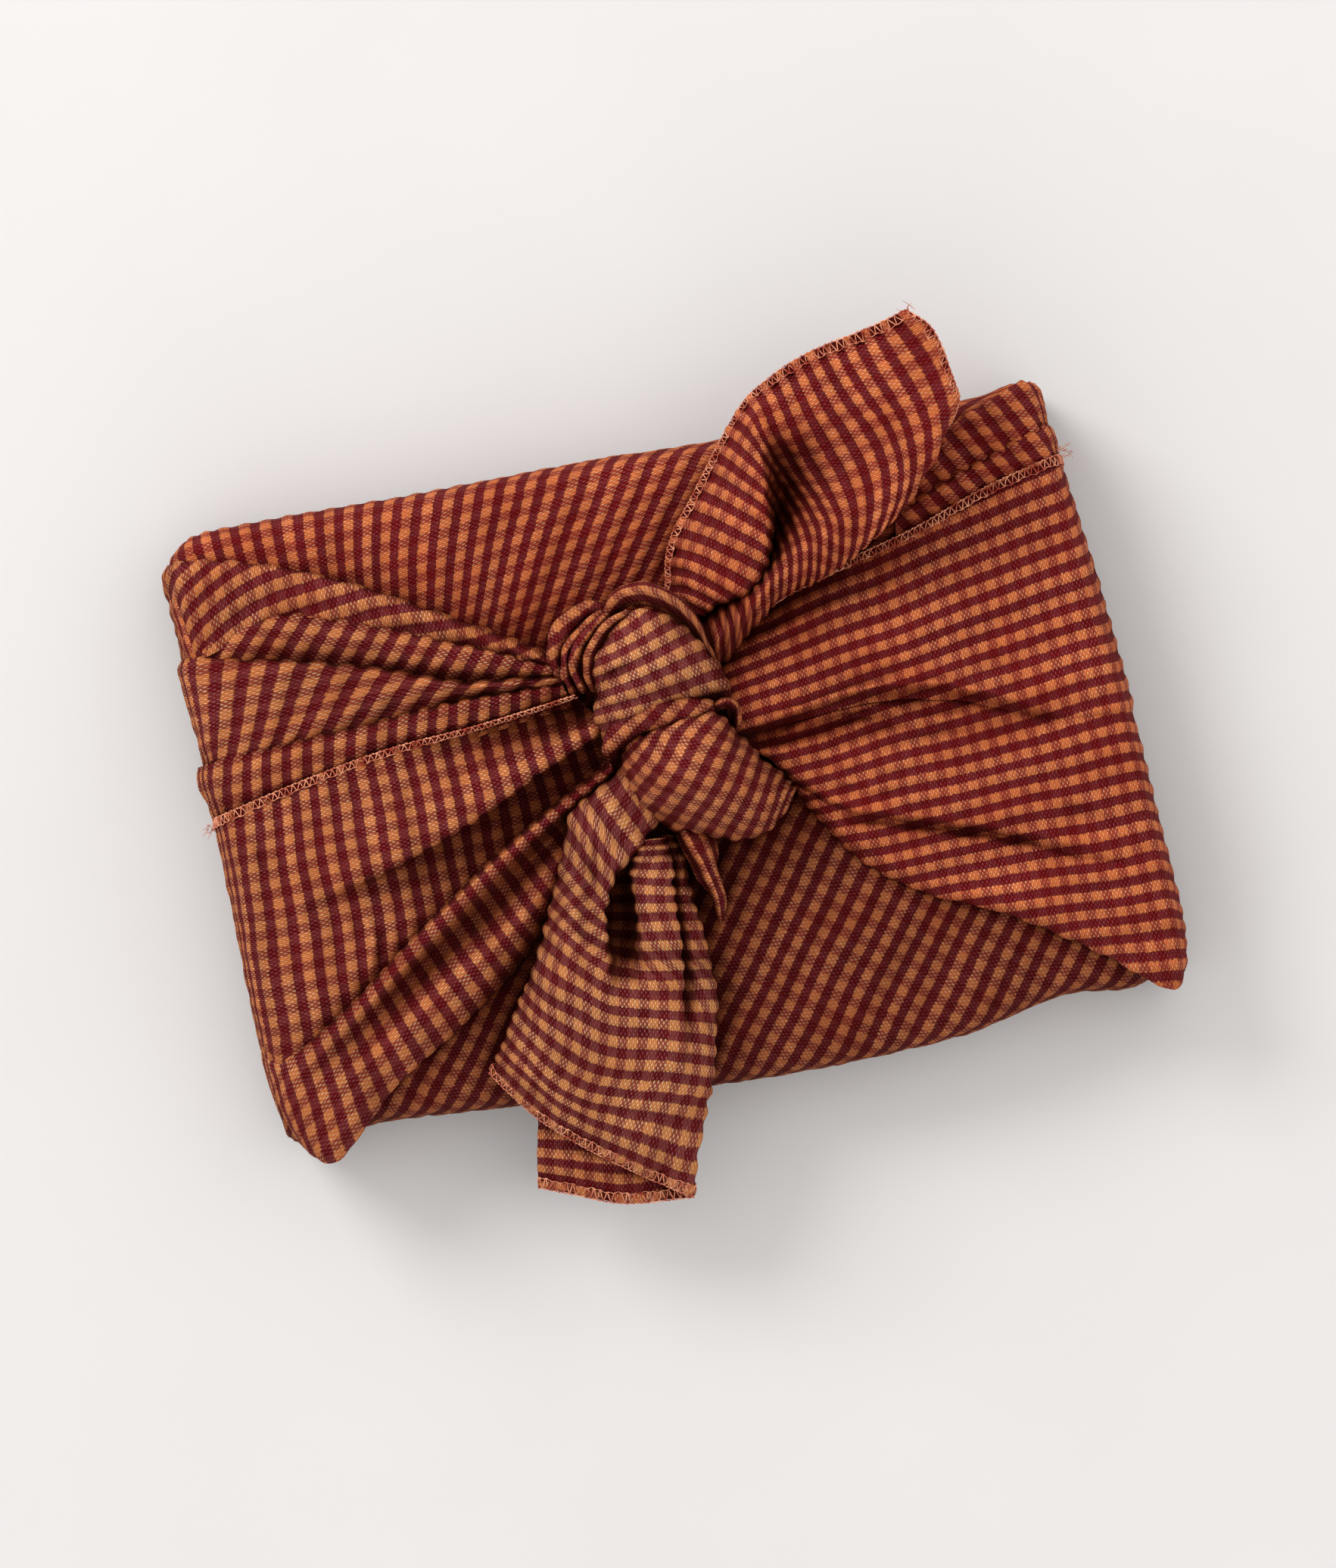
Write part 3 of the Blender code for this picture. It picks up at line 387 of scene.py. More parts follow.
# Folds of the cloth that turn round the lobes: how deep each is, and points along it as (x, y, height,
# half width).
KNOT_BANDS = {
    "rim_band": (4.2, ((-12, 40, 53, 1.6), (-9.5, 46.5, 56.5, 2.6), (-5, 50, 58, 3.2), (0.5, 50.2, 59.5, 3.4),
        (6, 47.5, 60.5, 3.2), (10.8, 43, 60.5, 2.8), (14.2, 37, 59.5, 2), (16, 31, 58, 1.4),
        (17.6, 25, 55, 1))),
    "left_rim_band": (3.4, ((-18.6, 25.5, 54, 1.4), (-19.3, 30, 58, 2), (-18, 35, 61, 2.2),
        (-14.6, 39.6, 63, 2.2), (-10, 43, 63, 2), (-4.5, 44.8, 62, 1.4))),
    "inner_ear": (3.6, ((-22.3, 26, 52, 1), (-23.4, 30.5, 56, 1.6), (-23, 35.5, 59, 1.9),
        (-20, 39.8, 60.5, 1.9), (-15.5, 43.3, 60.5, 1.8), (-10.5, 46, 58.5, 1.4))),
    "second_ear": (3.4, ((-25.5, 26.5, 50, 1.2), (-26.3, 32, 54.5, 1.5), (-25, 37, 57, 1.6),
        (-21.5, 41.2, 58.5, 1.6), (-17, 44.5, 58.5, 1.5), (-12, 47, 57, 1.2))),
    "outer_ear": (4.2, ((-28, 31, 49, 1.2), (-28.6, 36.5, 52.5, 2.4), (-26.5, 42, 55, 3.2),
        (-22.5, 46, 56, 3.6), (-17.5, 48.3, 55.5, 3), (-12.5, 48.6, 54, 2), (-9, 47, 53, 1.2))),
    "middle_band": (2.6, ((-17.2, 4.2, 52, 2), (-17.6, 7.8, 56.5, 3.2), (-13.6, 11.2, 62, 4),
        (-8, 13.6, 66.4, 4.4), (-2, 14.4, 69.2, 4.4), (4, 13.6, 70, 4), (9.5, 12.8, 68.8, 3.4),
        (14.5, 12.2, 65.5, 2))),
    "right_tab": (3, ((14.6, 12.2, 66, 0.9), (17.6, 12.9, 65, 1.3), (20, 11.4, 62.5, 1.5), (20.4, 8, 60, 1.3),
        (19.2, 4, 57, 0.9))),
}
# The folds of the knot that their stripes cross, and how steeply, in degrees from the parcel's long side.
SLANTS = {"middle_band": 34, "outer_ear": 24, "second_ear": 28, "inner_ear": 40}

# Sharp wrinkles that the pull of the knot has raised on a flap: (x, y) along each, its height, half its width.
WRINKLES = {
    "right": (
        (((30, 5), (45, 8), (60, 8.3), (80, 5.6), (92, 1), (103, -4), (114, -11)), 2.4, 1.4),
        (((34, 1), (46, 3.6), (58, 3.2), (70, 0)), 1.6, 1.4),
        (((40, -22), (50, -27), (60, -30), (80, -37), (100, -45), (118, -54)), 2.3, 1.3),
        (((62, 1), (78, -5), (95, -7.5), (110, -7)), 1.1, 1.6),
        (((40, -13), (52, -19), (66, -22)), 1.0, 1.6),
        (((100, -30), (115, -38), (133, -50)), 0.9, 1.6),
    ),
    "left_flap": (
        (((-128, 11), (-126, 2), (-123, -10)), 1.0, 1.2),
        (((-86, 21), (-83.5, 8), (-84, -14)), 1.0, 1.2),
        (((-105, -20), (-100, -32), (-104, -44)), 0.9, 1.4),
    ),
}


def in_frame(right, up):
    """A direction or place of the upright photograph, turned into the parcel's frame."""
    turn = math.radians(PARCEL_TURN)
    return right * math.cos(turn) + up * math.sin(turn), up * math.cos(turn) - right * math.sin(turn)


def unit(vectors):
    return vectors / np.maximum(np.linalg.norm(vectors, axis=-1, keepdims=True), 1e-9)


def smooth_curves(points, spacing):
    """Smooth curves through rows of points, with no gap over the spacing, and the points' places in them."""
    gaps = np.maximum(np.linalg.norm(np.diff(points, axis=1), axis=2), 1e-6)
    reach = np.sqrt(gaps)[..., None]
    slopes = np.diff(points, axis=1) / reach
    tangents = np.concatenate([slopes[:, :1], slopes], axis=1)
    before, after = reach[:, :-1], reach[:, 1:]
    tangents[:, 1:-1] = (slopes[:, :-1] * after + slopes[:, 1:] * before) / (before + after)
    made, places = [], [0]
    for k in range(points.shape[1] - 1):
        steps = max(2, math.ceil(gaps[:, k].max() / spacing))
        t = (np.arange(steps) / steps)[None, :, None]
        start, end = points[:, k, None], points[:, k + 1, None]
        out, into = tangents[:, k, None] * reach[:, k, None], tangents[:, k + 1, None] * reach[:, k, None]
        ends = (2 * t**3 - 3 * t**2 + 1) * start + (3 * t**2 - 2 * t**3) * end
        made.append(ends + (t**3 - 2 * t**2 + t) * out + (t**3 - t**2) * into)
        places.append(places[-1] + steps)
    made.append(points[:, -1:])
    return np.concatenate(made, axis=1), places


def smooth_curve(points, spacing):
    """One smooth curve through these points, and where they lie in it."""
    curves, places = smooth_curves(np.array([points], float), spacing)
    return curves[0], places


def surface(rows, spacing=SPACING):
    """A grid of points on the smooth surface through the rows, and where rows and their points lie in it."""
    lines, columns = smooth_curves(np.array(rows, float), spacing)
    grid, places = smooth_curves(lines.transpose(1, 0, 2), spacing)
    return grid.transpose(1, 0, 2), places, columns


def measured(grid, axis, seed):
    """How far each point is from the grid's row or column of that number, along the grid's lines."""
    steps = np.linalg.norm(np.diff(grid, axis=axis), axis=2)
    along = np.insert(np.cumsum(steps, axis=axis), 0, 0, axis=axis)
    return along - np.take(along, [seed], axis=axis)


def normals(grid):
    """The way out of the surface at each point: up, over most of it."""
    out = unit(np.cross(np.gradient(grid, axis=1), np.gradient(grid, axis=0)))
    return out if out[..., 2].mean() > 0 else -out


def wander(a, b):
    """A slow unevenness, between about -1 and 1: waves of these steepnesses both ways and these starts."""
    waves = ((0.37, 0.21, 1.0), (0.19, -0.43, 2.1), (0.55, 0.13, 0.4), (-0.29, 0.33, 4.0), (0.08, 0.61, 5.2))
    return sum(np.sin(p * a + q * b + start) for p, q, start in waves) / 3


def crinkle(across, along):
    """How far the crinkled weave stands off: the light stripes puff up and the dark ones sink between them."""
    place = (across / STRIPE) % 1
    light = np.sin(np.pi * (place - DARK_SHARE) / (1 - DARK_SHARE))
    dark = -SINK * np.sin(np.pi * place / DARK_SHARE)
    puckers = np.sin(2 * np.pi * along / PUCKER + 1.5 * np.sin(0.9 * across) + 1.4 * np.sin(0.31 * along))
    swell = 1 + 0.45 * wander(0.5 * across, 1.9 * along)
    in_dark = place < DARK_SHARE
    stripes = STRIPE_RELIEF * swell * np.where(in_dark, dark, light)
    return stripes + np.where(in_dark, *PUCKER_RELIEF) * puckers + UNEVENNESS * wander(across, along)


def faces_of(rows, columns, closed=False):
    """The quads of a grid of points, closed round on itself across its columns where it is a tube."""
    i, j = np.meshgrid(np.arange(rows - 1), np.arange(columns if closed else columns - 1), indexing="ij")
    after = (j + 1) % columns
    corners = (i * columns + j, i * columns + after, (i + 1) * columns + after, (i + 1) * columns + j)
    return np.stack(corners, axis=-1).reshape(-1, 4)


def mesh_piece(name, points, faces, material, cloth=None):
    """A mesh object of these points in millimetres. Cloth is each point's place on the flat cloth."""
    mesh = bpy.data.meshes.new(name)
    mesh.from_pydata((points.reshape(-1, 3) * MM).tolist(), [], faces.tolist())
    if cloth is not None:
        layer = mesh.uv_layers.new(name="cloth")
        corner = np.empty(len(mesh.loops), int)
        mesh.loops.foreach_get("vertex_index", corner)
        layer.uv.foreach_set("vector", cloth.reshape(-1, 2)[corner].ravel().astype(np.float32))
    mesh.materials.append(material)
    mesh.shade_smooth()
    piece = bpy.data.objects.new(name, mesh)
    bpy.context.scene.collection.objects.link(piece)
    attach(piece, "root")
    return piece


def declare(piece, grid):
    """Measures how large the panel's piece of cloth is when it lies flat, though the sizes are not used, and
    hides the part of model.glb that the cloth stands in for.
    """
    width = np.linalg.norm(np.diff(grid, axis=0), axis=2).sum(axis=0).max() * MM
    length = np.linalg.norm(np.diff(grid, axis=1), axis=2).sum(axis=1).max() * MM
    width, length = max(width, SMALLEST_SIDE), max(length, SMALLEST_SIDE)
    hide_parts(NODE)


def wrinkled(name, grid):
    """How high this panel's wrinkles raise each point of its grid. Each has a hollow along its lower side."""
    hollow_depth, hollow_place = 0.7, 2.2
    raised = np.zeros(grid.shape[:2])
    for start, wrinkles in WRINKLES.items():
        if not name.startswith(start):
            continue
        for points, height, width in wrinkles:
            line = smooth_curve([(x, y, 0) for x, y in points], 0.8)[0][:, :2]
            apart = np.linalg.norm(grid[..., None, :2] - line, axis=-1)
            ends = np.sin(np.linspace(0.15, np.pi - 0.15, len(line)))[apart.argmin(axis=-1)]
            below = np.sign(line[apart.argmin(axis=-1), 1] - grid[..., 1]) * apart.min(axis=-1)
            ridge = np.exp(-((below / width) ** 2))
            hollow = hollow_depth * np.exp(-(((below - hollow_place * width) / width) ** 2))
            raised += height * ends * (ridge - hollow)
    return raised


def lay(name, grid, across, along, material, relief=0.9):
    """A panel of the cloth on this grid, with its crinkled weave raised and its flat size measured."""
    grid = grid + wrinkled(name, grid)[..., None] * np.array((0, 0, 1.0))
    across = across + 0.55 * wander(0.35 * along, 0.25 * across)
    along = along + 0.5 * wander(0.3 * across + 40, 0.3 * along)
    points = grid + normals(grid) * (relief * crinkle(across, along))[..., None]
    points[..., 2] = np.maximum(points[..., 2], 0.1)
    piece = mesh_piece(name, points, faces_of(*grid.shape[:2]), material, np.stack([across, along], axis=-1))
    declare(piece, grid)
    return piece


def edge_of(grid, last_column=False):
    """A panel's first row or last column, as its points, the ways in from it and the ways out of the cloth."""
    if last_column:
        grid = grid[:, ::-1].transpose(1, 0, 2)
    points, inner = grid[0], grid[2]
    return points, unit(inner - points), normals(grid)[0]


def tube(line, radius):
    """The points of a tube round the line, and its faces."""
    ahead = unit(np.gradient(line, axis=0))
    side = unit(np.cross(ahead, (0.31, 0.22, 0.92)))
    up = np.cross(side, ahead)
    turn = 2 * np.pi * np.arange(TUBE_SIDES) / TUBE_SIDES
    ring = np.cos(turn)[None, :, None] * side[:, None] + np.sin(turn)[None, :, None] * up[:, None]
    radius = np.broadcast_to(radius, len(line))[:, None, None]
    return line[:, None] + ring * radius, faces_of(len(line), TUBE_SIDES, closed=True)


def joined_tubes(name, tubes, material):
    points, faces, count = [], [], 0
    for ring, quads in tubes:
        points.append(ring.reshape(-1, 3))
        faces.append(quads + count)
        count += len(points[-1])
    mesh_piece(name, np.concatenate(points), np.concatenate(faces), material)


def evenly_spaced(edge, step):
    """Each place this far on along an edge, and its points and their ways inward and out there."""
    length = np.insert(np.cumsum(np.linalg.norm(np.diff(edge[0], axis=0), axis=1)), 0, 0)
    at = np.linspace(0, length[-1], int(length[-1] / step))
    return at, *(np.stack([np.interp(at, length, part[:, k]) for k in range(3)], axis=1) for part in edge)


def hem_bed_in_painted_shade(name, edge, material, widths):
    """The cut edge of the cloth under the overlock: a few cords of it that show between the loops, dark with
    painted shade.
    """
    at, points, inward, out = evenly_spaced(edge, 0.9)
    width = np.linspace(*widths, len(at))
    lines = [points + inward * (width * share)[:, None] - out * 0.12 for share in BED_SHARES]
    joined_tubes(name, [tube(line, BED_RADIUS) for line in lines], material)


def overlock(name, edge, material, widths):
    """The overlock along an edge: the thread that loops over it, its needle thread and its edge thread.

    The widths, at the two ends of the edge, are in millimetres.
    """
    at, points, inward, out = evenly_spaced(edge, 0.2)
    uneven = 1 + 0.08 * np.sin(0.8 * at) + 0.06 * np.sin(2.3 * at + 1)
    width = np.linspace(*widths, len(at)) * uneven
    turn = 2 * np.pi * at / LOOP + 0.4 * np.sin(0.7 * at)

    def thread(inside, above, radius):
        return tube(points + inward * inside[:, None] + out * above[:, None], radius)

    zigzag = 0.5 + np.arcsin(0.97 * np.sin(turn)) / 2.8
    joined_tubes(name, (
        thread(width * zigzag, 0.42 + 0.16 * np.cos(2 * turn), LOOP_RADIUS * uneven),
        thread(width * 0.93, 0.34 + 0.16 * np.sin(2 * turn), NEEDLE_RADIUS + 0.05 * np.sin(turn)),
        thread(-0.12 - 0.12 * np.cos(turn), 0.2 + 0 * at, (EDGE_RADIUS + 0.1 * np.sin(2 * turn)) * uneven),
    ), material)


def tuft(name, root, way, count, reach, seed, material):
    """Loose thread ends that stand out of a corner of the hem."""
    random = np.random.default_rng(seed)
    tubes = []
    for _ in range(count):
        start = np.array(root) + random.normal(0, 1.1, 3) * (1, 1, 0.4)
        heading = unit(np.array(way, float) + random.normal(0, 0.55, 3))
        bend = random.normal(0, 0.5, 3)
        t = np.linspace(0, 1, 9)[:, None]
        length = reach * random.uniform(0.4, 1.1)
        line = start + heading * length * t + bend * length * t**2 - np.array((0, 0, 0.5)) * length * t**2
        tubes.append(tube(line, LOOSE_RADIUS * (1 - 0.5 * t[:, 0])))
    joined_tubes(name, tubes, material)


def add(tree, kind, inputs=(), **settings):
    """Adds a node with these settings. Each input takes a value or another node's output."""
    made = tree.nodes.new("ShaderNode" + kind)
    for name, value in settings.items():
        setattr(made, name, value)
    for name, value in dict(inputs).items():
        if isinstance(value, bpy.types.NodeSocket):
            tree.links.new(value, made.inputs[name])
        else:
            made.inputs[name].default_value = value
    return made


def linear(hex_colour):
    """A colour written as sRGB hex, as the linear numbers that a shader takes."""
    shares = [int(hex_colour[i:i + 2], 16) / 255 for i in (1, 3, 5)]
    return [c / 12.92 if c <= 0.04045 else ((c + 0.055) / 1.055) ** 2.4 for c in shares] + [1]


def maths(tree, operation, *values):
    return add(tree, "Math", dict(enumerate(values)), operation=operation).outputs[0]


def mixed(tree, share, first, second, blend="MIX"):
    """Two colours mixed by a share."""
    inputs = {0: share, 6: first, 7: second}
    return add(tree, "Mix", inputs, data_type="RGBA", blend_type=blend, clamp_factor=True).outputs[2]


def edge_step(tree, value, edge, softness):
    """0 below the edge and 1 above it, with a soft step between."""
    inputs = {"Value": value, "From Min": edge - softness, "From Max": edge + softness}
    return add(tree, "MapRange", inputs, interpolation_type="SMOOTHSTEP").outputs[0]


def new_material(name, surface):
    """A material with these values on its shader, the shader's node tree, and the shader."""
    material = bpy.data.materials.new(name)
    material.use_nodes = True
    shader = material.node_tree.nodes["Principled BSDF"]
    for socket, value in surface.items():
        shader.inputs[socket].default_value = value
    return material, material.node_tree, shader


# Handwoven cotton: matt, with a faint sheen of loose fibres. Its warp is dark wine and orange, its weft gold
# and rose, so that each crossing has a colour of its own. Single pale weft threads show across them: slubs,
# with a painted glint where light would rake the weave.
COTTON_SURFACE = {
    "Roughness": 0.88,
    "Specular IOR Level": 0.12,
    "Specular Tint": linear("#D08A60"),
    "Sheen Weight": 0.05,
    "Sheen Tint": linear("#C8704A"),
    "Sheen Roughness": 0.45,
}
# Copies of one cloth for different panels. Their pale raised threads are slubs with a painted glint, most of
# it on the left flap, the front end and the upper lobe, and the copy for the front panel is darker, as painted
# shade.
DYES_AND_PAINTED_LIGHT = {
    # name: orange on gold, orange on rose, wine on gold, wine on rose, share of pale slubs and painted glint,
    # brightness
    "deep": ("#BE6034", "#8E3222", "#681A1C", "#62080C", 0.16, 1.12),
    "slubs_and_glint": ("#BE6A3A", "#8A3826", "#6C2222", "#5E080E", 0.22, 1.0),
    "pale": ("#C47844", "#8A3E2E", "#783430", "#600E12", 0.26, 1.0),
    "front_in_shade": ("#B46036", "#883424", "#60181A", "#58080C", 0.16, 0.72),
    "knotted": ("#BC683A", "#883826", "#6C2222", "#5E080E", 0.2, 1.05),
}
PALE_SLUB_AND_GLINT_ON_ORANGE = "#FADCAE"
PALE_SLUB_AND_GLINT_ON_WINE = "#A06A70"
# The gaps between crossing threads, darkened as painted shade.
THREAD_GAP_SHADE = "#240204"
# Painted shade in and beside folds: the colour darkens towards red where the cloth sees little open sky, as
# light in a fold has gone from thread to thread and come out red, from well outside the fold: what is left of
# it, how far off in millimetres the fold can be, and how strongly it shows.
PAINTED_SHADE_BESIDE_FOLD = ("#8C4438", 70, 0.8)
PAINTED_SHADE_INSIDE_FOLD = ("#54120E", 20, 0.9)


def woven_check(dye_and_light):
    """The woven check in one of its copies, each with its own colours, painted glint and brightness."""
    on_gold, on_rose, wine_on_gold, wine_on_rose, slub_and_glint_share, strength = DYES_AND_PAINTED_LIGHT[dye_and_light]
    material, tree, shader = new_material(f"handwoven crinkled cotton check, {dye_and_light}", COTTON_SURFACE)
    place = add(tree, "UVMap", uv_map="cloth").outputs[0]
    split = add(tree, "SeparateXYZ", {0: place}).outputs
    warp_way, weft_way = split[0], split[1]

    def noise(across, along, detail=2.0):
        stretched = add(tree, "Mapping", {0: place, 3: (across, along, 1)}).outputs[0]
        return add(tree, "TexNoise", {"Vector": stretched, "Scale": 1.0, "Detail": detail}).outputs[0]

    def times(first, second):
        return maths(tree, "MULTIPLY", first, second)

    def scaled(value, scale, start):
        return maths(tree, "MULTIPLY_ADD", value, scale, start)

    def below(value, edge, softness):
        return maths(tree, "SUBTRACT", 1.0, edge_step(tree, value, edge, softness))

    def bands(way, period, start, softness, end, end_softness):
        """1 from the start share of each period to the end share, and 0 in the rest of it."""
        share = maths(tree, "FRACT", maths(tree, "DIVIDE", way, period))
        begun = edge_step(tree, share, start, softness)
        return maths(tree, "SUBTRACT", begun, edge_step(tree, share, end, end_softness))

    # Threads wander a little, so the bands have ragged edges.
    across = maths(tree, "ADD", warp_way, scaled(noise(0.3, 1.7, 3.0), 1.9, -0.95))
    along = maths(tree, "ADD", weft_way, scaled(noise(1.6, 0.3), 1.6, -0.8))
    light = bands(across, STRIPE, start=DARK_SHARE, softness=0.025, end=0.985, end_softness=0.02)
    rose = bands(along, CHECK, start=GOLD_SHARE, softness=0.04, end=0.97, end_softness=0.03)
    orange = mixed(tree, rose, linear(on_gold), linear(on_rose))
    wine = mixed(tree, rose, linear(wine_on_gold), linear(wine_on_rose))
    colour = mixed(tree, light, wine, orange)

    # Plain weave: warp and weft threads pass over each other in turn, with a dark gap around each crossing,
    # which is painted shade between the threads.
    def thread(way):
        return maths(tree, "SINE", times(way, math.pi / THREAD))

    over_under = times(thread(times(warp_way, 0.6)), thread(weft_way))
    crossing = maths(tree, "ABSOLUTE", thread(weft_way))
    warp_up = edge_step(tree, over_under, 0.25, 0.3)
    slub = edge_step(tree, noise(0.2, 1.1, 1.0), 0.48, 0.25)
    patches = edge_step(tree, noise(0.05, 0.05), 0.45, 0.2)
    # The pale raised threads are slubs and painted glint: where they show, their colour, and their share.
    slubs_and_glint = scaled(times(slub, patches), 1.5, 0.5)
    pale = mixed(tree, light, linear(PALE_SLUB_AND_GLINT_ON_WINE), linear(PALE_SLUB_AND_GLINT_ON_ORANGE))
    colour = mixed(tree, times(times(warp_up, slubs_and_glint), slub_and_glint_share), colour, pale)
    colour = mixed(tree, times(below(crossing, 0.3, 0.3), 0.5), colour, linear(THREAD_GAP_SHADE))

    # Dye and light wear vary slowly over the cloth, and from one stripe to the next. Each copy's brightness
    # scales this, and for the front panel's copy that darkening is painted shade.
    slow = scaled(noise(0.04, 0.04, 3.0), 0.5 * strength, 0.75 * strength)
    shade = times(slow, scaled(noise(0.19, 0.012, 1.0), 0.6, 0.7))
    tone = add(tree, "CombineColor", {0: shade, 1: shade, 2: shade}).outputs[0]
    colour = mixed(tree, 1.0, colour, tone, "MULTIPLY")

    folds = (
        # painted shade: what is left of the light, reach, strength, how open the cloth is where it starts,
        # softness, samples
        (*PAINTED_SHADE_BESIDE_FOLD, 0.7, 0.26, 4),
        (*PAINTED_SHADE_INSIDE_FOLD, 0.46, 0.34, 3),
    )
    for tint, reach, strength_here, start, softness, samples in folds:
        openness = add(tree, "AmbientOcclusion", {"Distance": reach * MM}, samples=samples).outputs["AO"]
        share = times(below(openness, start, softness), strength_here)
        colour = mixed(tree, share, colour, linear(tint), "MULTIPLY")
    tree.links.new(colour, shader.inputs["Base Color"])

    # The weave's own relief: the weft threads, the fibres, and the small puckers of the shrunken dark stripes.
    puckers = times(noise(0.35, 0.75, 3.0), maths(tree, "SUBTRACT", 1.25, light))
    height = scaled(noise(1.5, 1.5, 3.0), 0.22, scaled(crossing, 0.2, times(puckers, 1.5)))
    bump = add(tree, "Bump", {"Strength": 0.8, "Distance": 0.8 * MM, "Height": height})
    tree.links.new(bump.outputs[0], shader.inputs["Normal"])
    return material


def sewing_thread():
    """Twisted polyester thread, coral red: a little glossier than the cloth, its plies just showing."""
    gloss = {"Roughness": 0.6, "Specular IOR Level": 0.35}
    material, tree, shader = new_material("coral overlock thread", gloss)
    place = add(tree, "TexCoord").outputs["Object"]
    noise = add(tree, "TexNoise", {"Vector": place, "Scale": 320.0, "Detail": 2.0}).outputs[0]
    colour = mixed(tree, edge_step(tree, noise, 0.5, 0.2), linear("#A83A22"), linear("#F2A27C"))
    tree.links.new(colour, shader.inputs["Base Color"])
    waves = {"Vector": place, "Scale": 900.0, "Distortion": 3.0}
    plies = add(tree, "TexWave", waves, bands_direction="DIAGONAL")
    bump = add(tree, "Bump", {"Strength": 0.4, "Distance": 0.05 * MM, "Height": plies.outputs["Fac"]})
    tree.links.new(bump.outputs[0], shader.inputs["Normal"])
    return material


def shaded_edge():
    """The cotton's cut edge, matt and dark red between the loops of thread: painted shade under the thread."""
    surface_values = {"Base Color": linear("#4C0E0A"), "Roughness": 0.95, "Specular IOR Level": 0.1}
    return new_material("cotton edge under the overlock, in painted shade", surface_values)[0]


def painted_table():
    """A matt white painted board, very slightly mottled."""
    material, tree, shader = new_material("matt white painted board", {"Roughness": 0.8})
    place = add(tree, "TexCoord").outputs["Object"]
    mottle = add(tree, "TexNoise", {"Vector": place, "Scale": 9.0, "Detail": 4.0}).outputs[0]
    colour = mixed(tree, mottle, linear("#E0DDDC"), linear("#E7E5E4"))
    tree.links.new(colour, shader.inputs["Base Color"])
    return material


def with_feet(lines):
    """A flap's lines, each started at the wall's foot, where it is tucked under the parcel."""
    return [[*((share * line[0][0], share * line[0][1], height) for share, height in FEET), *line]
            for line in lines.values()]


def ruled(ridge, lean, shift=0):
    """The cloth's own measures where its stripes, seen from above, are straight lines that fan out.

    Each crosses the ridge, at y = ridge[0] + ridge[1] x, and there leans back by lean[0] + lean[1] x.
    """
    def measures(x, y):
        start = x
        for _ in range(30):
            start = x - (lean[0] + lean[1] * start) * (ridge[0] + ridge[1] * start - y)
        many = np.linspace(-300, 300, 1201)
        slope = lean[0] + lean[1] * many
        step = (1 + ridge[1] * slope) / np.sqrt(1 + slope**2) * (many[1] - many[0])
        across = np.interp(start, many, np.cumsum(step) - np.interp(0, many, np.cumsum(step)))
        along = (y - ridge[0] - ridge[1] * start) * np.sqrt(1 + (lean[0] + lean[1] * start) ** 2)
        return across + shift, along

    return measures


def lengthwise(ridge, lean):
    """The same measures, for stripes that run along the parcel and cross x = ridge[0] + ridge[1] y."""
    return lambda x, y: ruled(ridge, lean)(y, x)


def swept(places, slopes):
    """The cloth's own measures where its stripes, seen from above, are one curve moved up and down the cloth.

    The curve has these slopes at these places along X. Straight across it is 0.93 of the way up.
    """
    many = np.linspace(-200, 200, 801)
    rise = np.cumsum(np.interp(many, places, slopes)) * (many[1] - many[0])

    def measures(x, y):
        return 0.93 * (y - np.interp(x, many, rise)), x

    return measures


def parcel_cloth(material, front_shade_material):
    """The cloth round the parcel itself: its walls, and the two corners folded over as its back and front."""
    curve, places = smooth_curve([OUTLINE[-1], *OUTLINE, OUTLINE[0], OUTLINE[1]], SPACING * 1.12)
    outline = curve[places[1]:places[-2] + 1]
    profile, _ = smooth_curve(PROFILE, SPACING * 1.12)
    ahead = np.gradient(outline, axis=0)
    ahead[0] = ahead[-1] = outline[1] - outline[-2]
    away = unit(np.stack([ahead[:, 1], -ahead[:, 0]], axis=1))
    beside = np.stack([-away[:, 1], away[:, 0]], axis=1)
    inset, height = profile[:, 0], profile[:, 1]
    plan = outline[None] * (1 - inset[:, None] / HALF_SIZE)[:, None]
    grid = np.concatenate([plan, np.broadcast_to(height[:, None, None], (*plan.shape[:2], 1))], axis=2)
    grid[..., 2] *= 1 - FRONT_SINK * np.clip((SINK_FROM - grid[..., 1]) / SINK_WAY, 0, 1) ** 2
    shoulder = int(np.argmax(height > SHOULDER_HEIGHT))
    down = np.insert(np.cumsum(np.linalg.norm(np.diff(profile, axis=0), axis=1)), 0, 0)
    down = np.maximum(down[shoulder] - down, 0)[:, None, None]
    # Each point's place on the cloth, as if the walls were laid out flat round the top.
    aside = ((plan - plan[shoulder]) * beside).sum(axis=2, keepdims=True) * beside
    flat = np.where(down > 0, plan[shoulder] + away * down + aside, plan)
    x, y = flat[..., 0], flat[..., 1]
    # On the back panel the stripes fan out, from upright at its left to leaning over at its right.
    back = ruled((94.0, 0.0), (-0.6, -0.0057))(x, y)
    tilt = math.radians(FRONT_TURN)
    front = FRONT_CLOSER * (x * math.sin(tilt) - y * math.cos(tilt)), x * math.cos(tilt) + y * math.sin(tilt)
    # The right wall shows in front of the tucked corner, and there it is cloth of the front panel.
    at_back = (y > 0) & ((x < 138) | (y > 78))
    across, along = (np.where(at_back, *pair) for pair in zip(back, front))
    piece = lay(PARCEL, grid, across, along, material, 0.55)
    # The front half of the parcel's cloth takes the copy that is darkened as painted shade.
    piece.data.materials.append(front_shade_material)
    for face in piece.data.polygons:
        face.material_index = int(face.center.y < 0)


